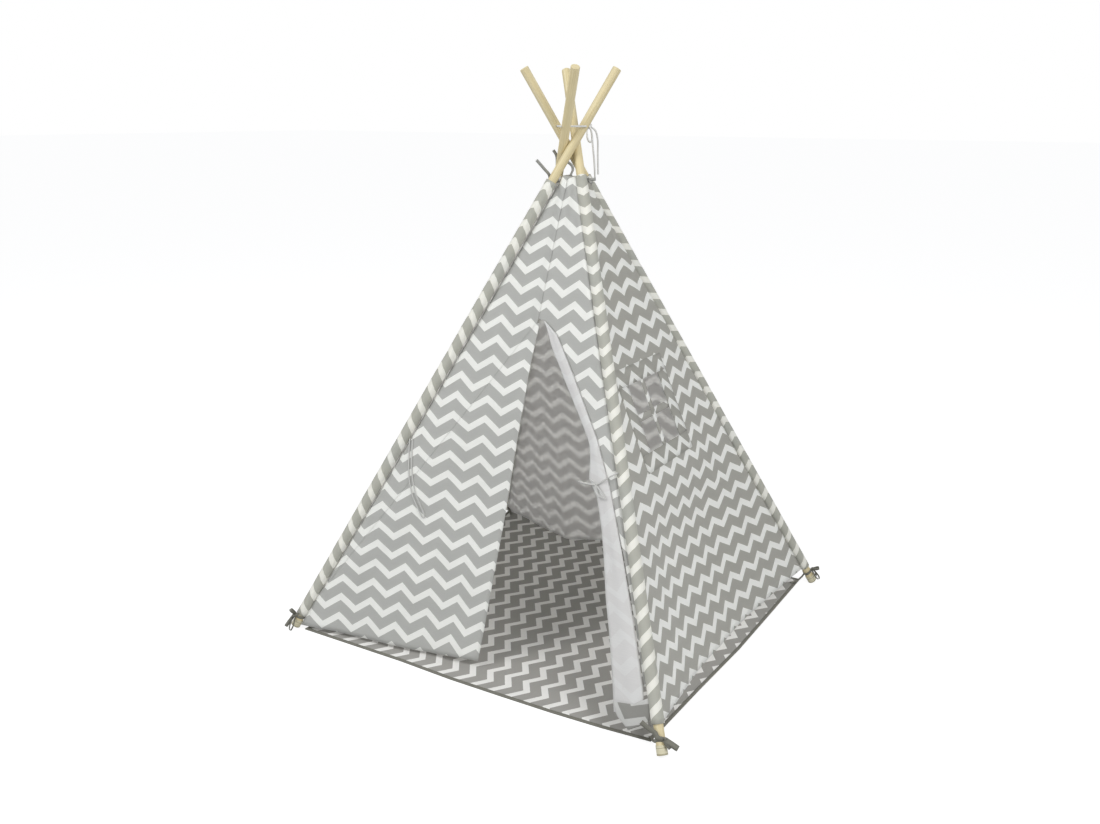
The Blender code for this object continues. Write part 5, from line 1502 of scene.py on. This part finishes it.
def ribbon(name, path, wide_way, material, wide=RIBBON_WIDE):
    """A flat ribbon along a path, wide in one way."""
    points, cut, run = [], [], 0.0
    count = len(path)
    for i, p in enumerate(path):
        forward = (path[min(i + 1, count - 1)] - path[max(i - 1, 0)]).normalized()
        across = (wide_way - forward * wide_way.dot(forward)).normalized()
        if i:
            run += (p - path[i - 1]).length
        for share in (-0.5, 0.0, 0.5):
            points.append(p + across * (wide * share))
            cut.append((wide * share, run))
    return cloth_mesh(name, points, grid_faces(count - 1, 2), cut, [material])


def circle_steps(count):
    """The angles of a closed circle."""
    return [2.0 * math.pi * k / count for k in range(count + 1)]


def beside(pole, step):
    """A step away from a pole: out of the tent, sideways round the pole and up."""
    out, side, rise = step
    return -pole.inward * out + pole.side * side + UP * rise


def ribbon_tie(name, pole, s, knot_turn, loops, tails, material, wide=RIBBON_WIDE):
    """A ribbon round a pole, tied in a bow: its ring, its knot, its loops and its tails."""
    base = pole.at(s)
    turn = math.radians(knot_turn)
    knot_way = pole.outward * math.cos(turn) + pole.side * math.sin(turn)
    centre = base + knot_way * (POLE_R + RIBBON_KNOT_OUT)
    ring = [base + (pole.outward * math.cos(t) + pole.side * math.sin(t)) * RIBBON_RING_R
            + pole.axis * (RIBBON_RING_WAVE * math.sin(2.0 * t))
            for t in circle_steps(RIBBON_RING_STEPS)]
    wrap = [centre + (knot_way * math.cos(t) + UP * math.sin(t)) * RIBBON_WRAP_R
            for t in circle_steps(RIBBON_WRAP_STEPS)]
    parts = [ribbon(name + "_ring", ring, pole.axis, material),
             ribbon(name + "_wrap", wrap, pole.axis.cross(knot_way), material)]
    for tip, spread_way in loops:
        run = base + beside(pole, tip) * MM - centre
        forward = run.normalized()
        way = beside(pole, spread_way)
        way = (way - forward * way.dot(forward)).normalized()
        path = rounded([centre + run * a + way * (LOOP_SPREAD * b) for a, b in LOOP_SHARES], 4)
        parts.append(ribbon(name + "_loop", path, forward.cross(way), material, wide))
    for path_points, wide_way in tails:
        path = rounded([centre] + [base + beside(pole, p) * MM for p in path_points], 6)
        way = beside(pole, wide_way).normalized()
        parts.append(ribbon(name + "_tail", path, way, material, wide))
    return parts


def ribbon_thickness(obj):
    """The ribbon gets its thickness, all of one finish."""
    solid = obj.modifiers.new("thickness", "SOLIDIFY")
    solid.thickness = RIBBON_THICK
    solid.offset = 0.0


for corner, pole in poles.items():
    turn, loops, tails = CORNER_BOWS[corner]
    s = CORNER_TIE_S[corner]
    parts = ribbon_tie("corner_tie", pole, s, turn, loops, tails, olive_ribbon,
                       BOW_WIDE.get(corner, RIBBON_WIDE))
    strap_path = [pole.at(s - RIBBON_WIDE / 4, -RIBBON_RING_R)]
    strap_path += [pole.at(s) + beside(pole, step) * MM for step in STRAP[corner]]
    parts.append(ribbon("strap", rounded(strap_path, 5), pole.side, olive_ribbon))
    piece = joined("mat_ribbon_" + corner, parts)
    ribbon_thickness(piece)
    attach(piece, "pole_" + corner)
    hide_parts("mat_tie_" + corner)
    turn, loops, tails = TOP_BOWS[corner]
    piece = joined("cover_ribbon_" + corner,
                   ribbon_tie("top_tie", pole, TOP_TIE_S[corner], turn, loops, tails, grey_ribbon))
    ribbon_thickness(piece)
    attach(piece, "pole_" + corner)
    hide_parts("cover_tie_" + corner)

# Door cords
# Two thin white braided cords are sewn into the sleeves' seams. The left one hangs doubled,
# unused; the right one goes round the folded half of the door and is tied in a small bow.
CORD_R = 1.8 * MM
CORD_LEFT = ((-318.2, 557.0, 4.2), (-311.0, 520.0, 3.1), (-297.0, 468.0, 3.1),
             (-275.0, 424.0, 3.1), (-255.0, 396.0, 3.1), (-238.0, 372.0, 3.2),
             (-231.0, 368.0, 3.3), (-229.0, 375.0, 3.3), (-246.0, 401.0, 3.1),
             (-266.0, 430.0, 3.1), (-287.0, 473.0, 3.1), (-302.0, 523.0, 3.1),
             (-309.0, 560.0, 3.6))
CORD_KNOT = (284.0, 542.0, 12.9)
CORD_RIGHT = ((337.0, 579.0, 13.0), (326.0, 572.0, 12.6), (310.0, 561.0, 12.6),
              (295.0, 549.0, 12.6), CORD_KNOT)
CORD_LOOP = (CORD_KNOT, (295.0, 535.0, 15.0), (309.0, 525.0, 16.0), (317.0, 518.0, 16.0),
             (309.0, 516.0, 16.0), (294.0, 525.0, 15.0), (284.0, 541.0, 12.9))
CORD_TAILS = ((CORD_KNOT, (268.0, 541.0, 13.5), (252.0, 540.8, 13.0), (237.0, 541.5, 12.0)),
              (CORD_KNOT, (276.0, 548.0, 14.5), (266.0, 551.5, 14.5)),
              (CORD_KNOT, (287.0, 530.0, 15.0), (301.0, 516.0, 15.5)))
CORD_PITCH = 5.0 * MM
CORD_KNOT_R = 3.6 * MM
CORD_PULLED = 0.9
# The cord's dips are painted far darker than the rope's: painted shade standing in for the contact
# shadows round the cord.
white_cord = braided("braided_cotton_cord", "#E6E6E2", "#A9A9A5", CORD_PITCH, CORD_R)


def on_front(places, falls=False):
    """Places on the front, given in mm: across it, its height and off the cloth. What lies on
    the left half of the door falls inwards with it."""
    points = []
    for x, z, lift in places:
        fall = flap_fall(x * MM, z * MM) if falls else 0.0
        points.append(front.point(x * MM, z * MM, lift * MM - fall))
    return points


points = rounded(on_front(CORD_LEFT, falls=True), 4)
piece = tube("door_cord_left", points, CORD_R, white_cord)
hang(piece, "side_front", ["door_tie_left"])
tuple(points[0])
knot_place = on_front([CORD_KNOT])[0]
bow = joined("door_cord_bow", [
    tube("knot", knot_path(knot_place, CORD_KNOT_R, 0.3, 1.4), CORD_R * CORD_PULLED, white_cord,
         closed=True),
    tube("loop", rounded(on_front(CORD_LOOP), 5), CORD_R, white_cord),
    *[tube("tail", rounded(on_front(places), 5), CORD_R, white_cord) for places in CORD_TAILS]])
hang(bow, "side_front", [])
points = rounded(on_front(CORD_RIGHT), 4)
piece = tube("door_cord_right", points, CORD_R, white_cord)
hang(piece, "side_front", ["door_tie_right"])
tuple(points[0])

# The bounds of the dressed tent, without the floor
low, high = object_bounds()
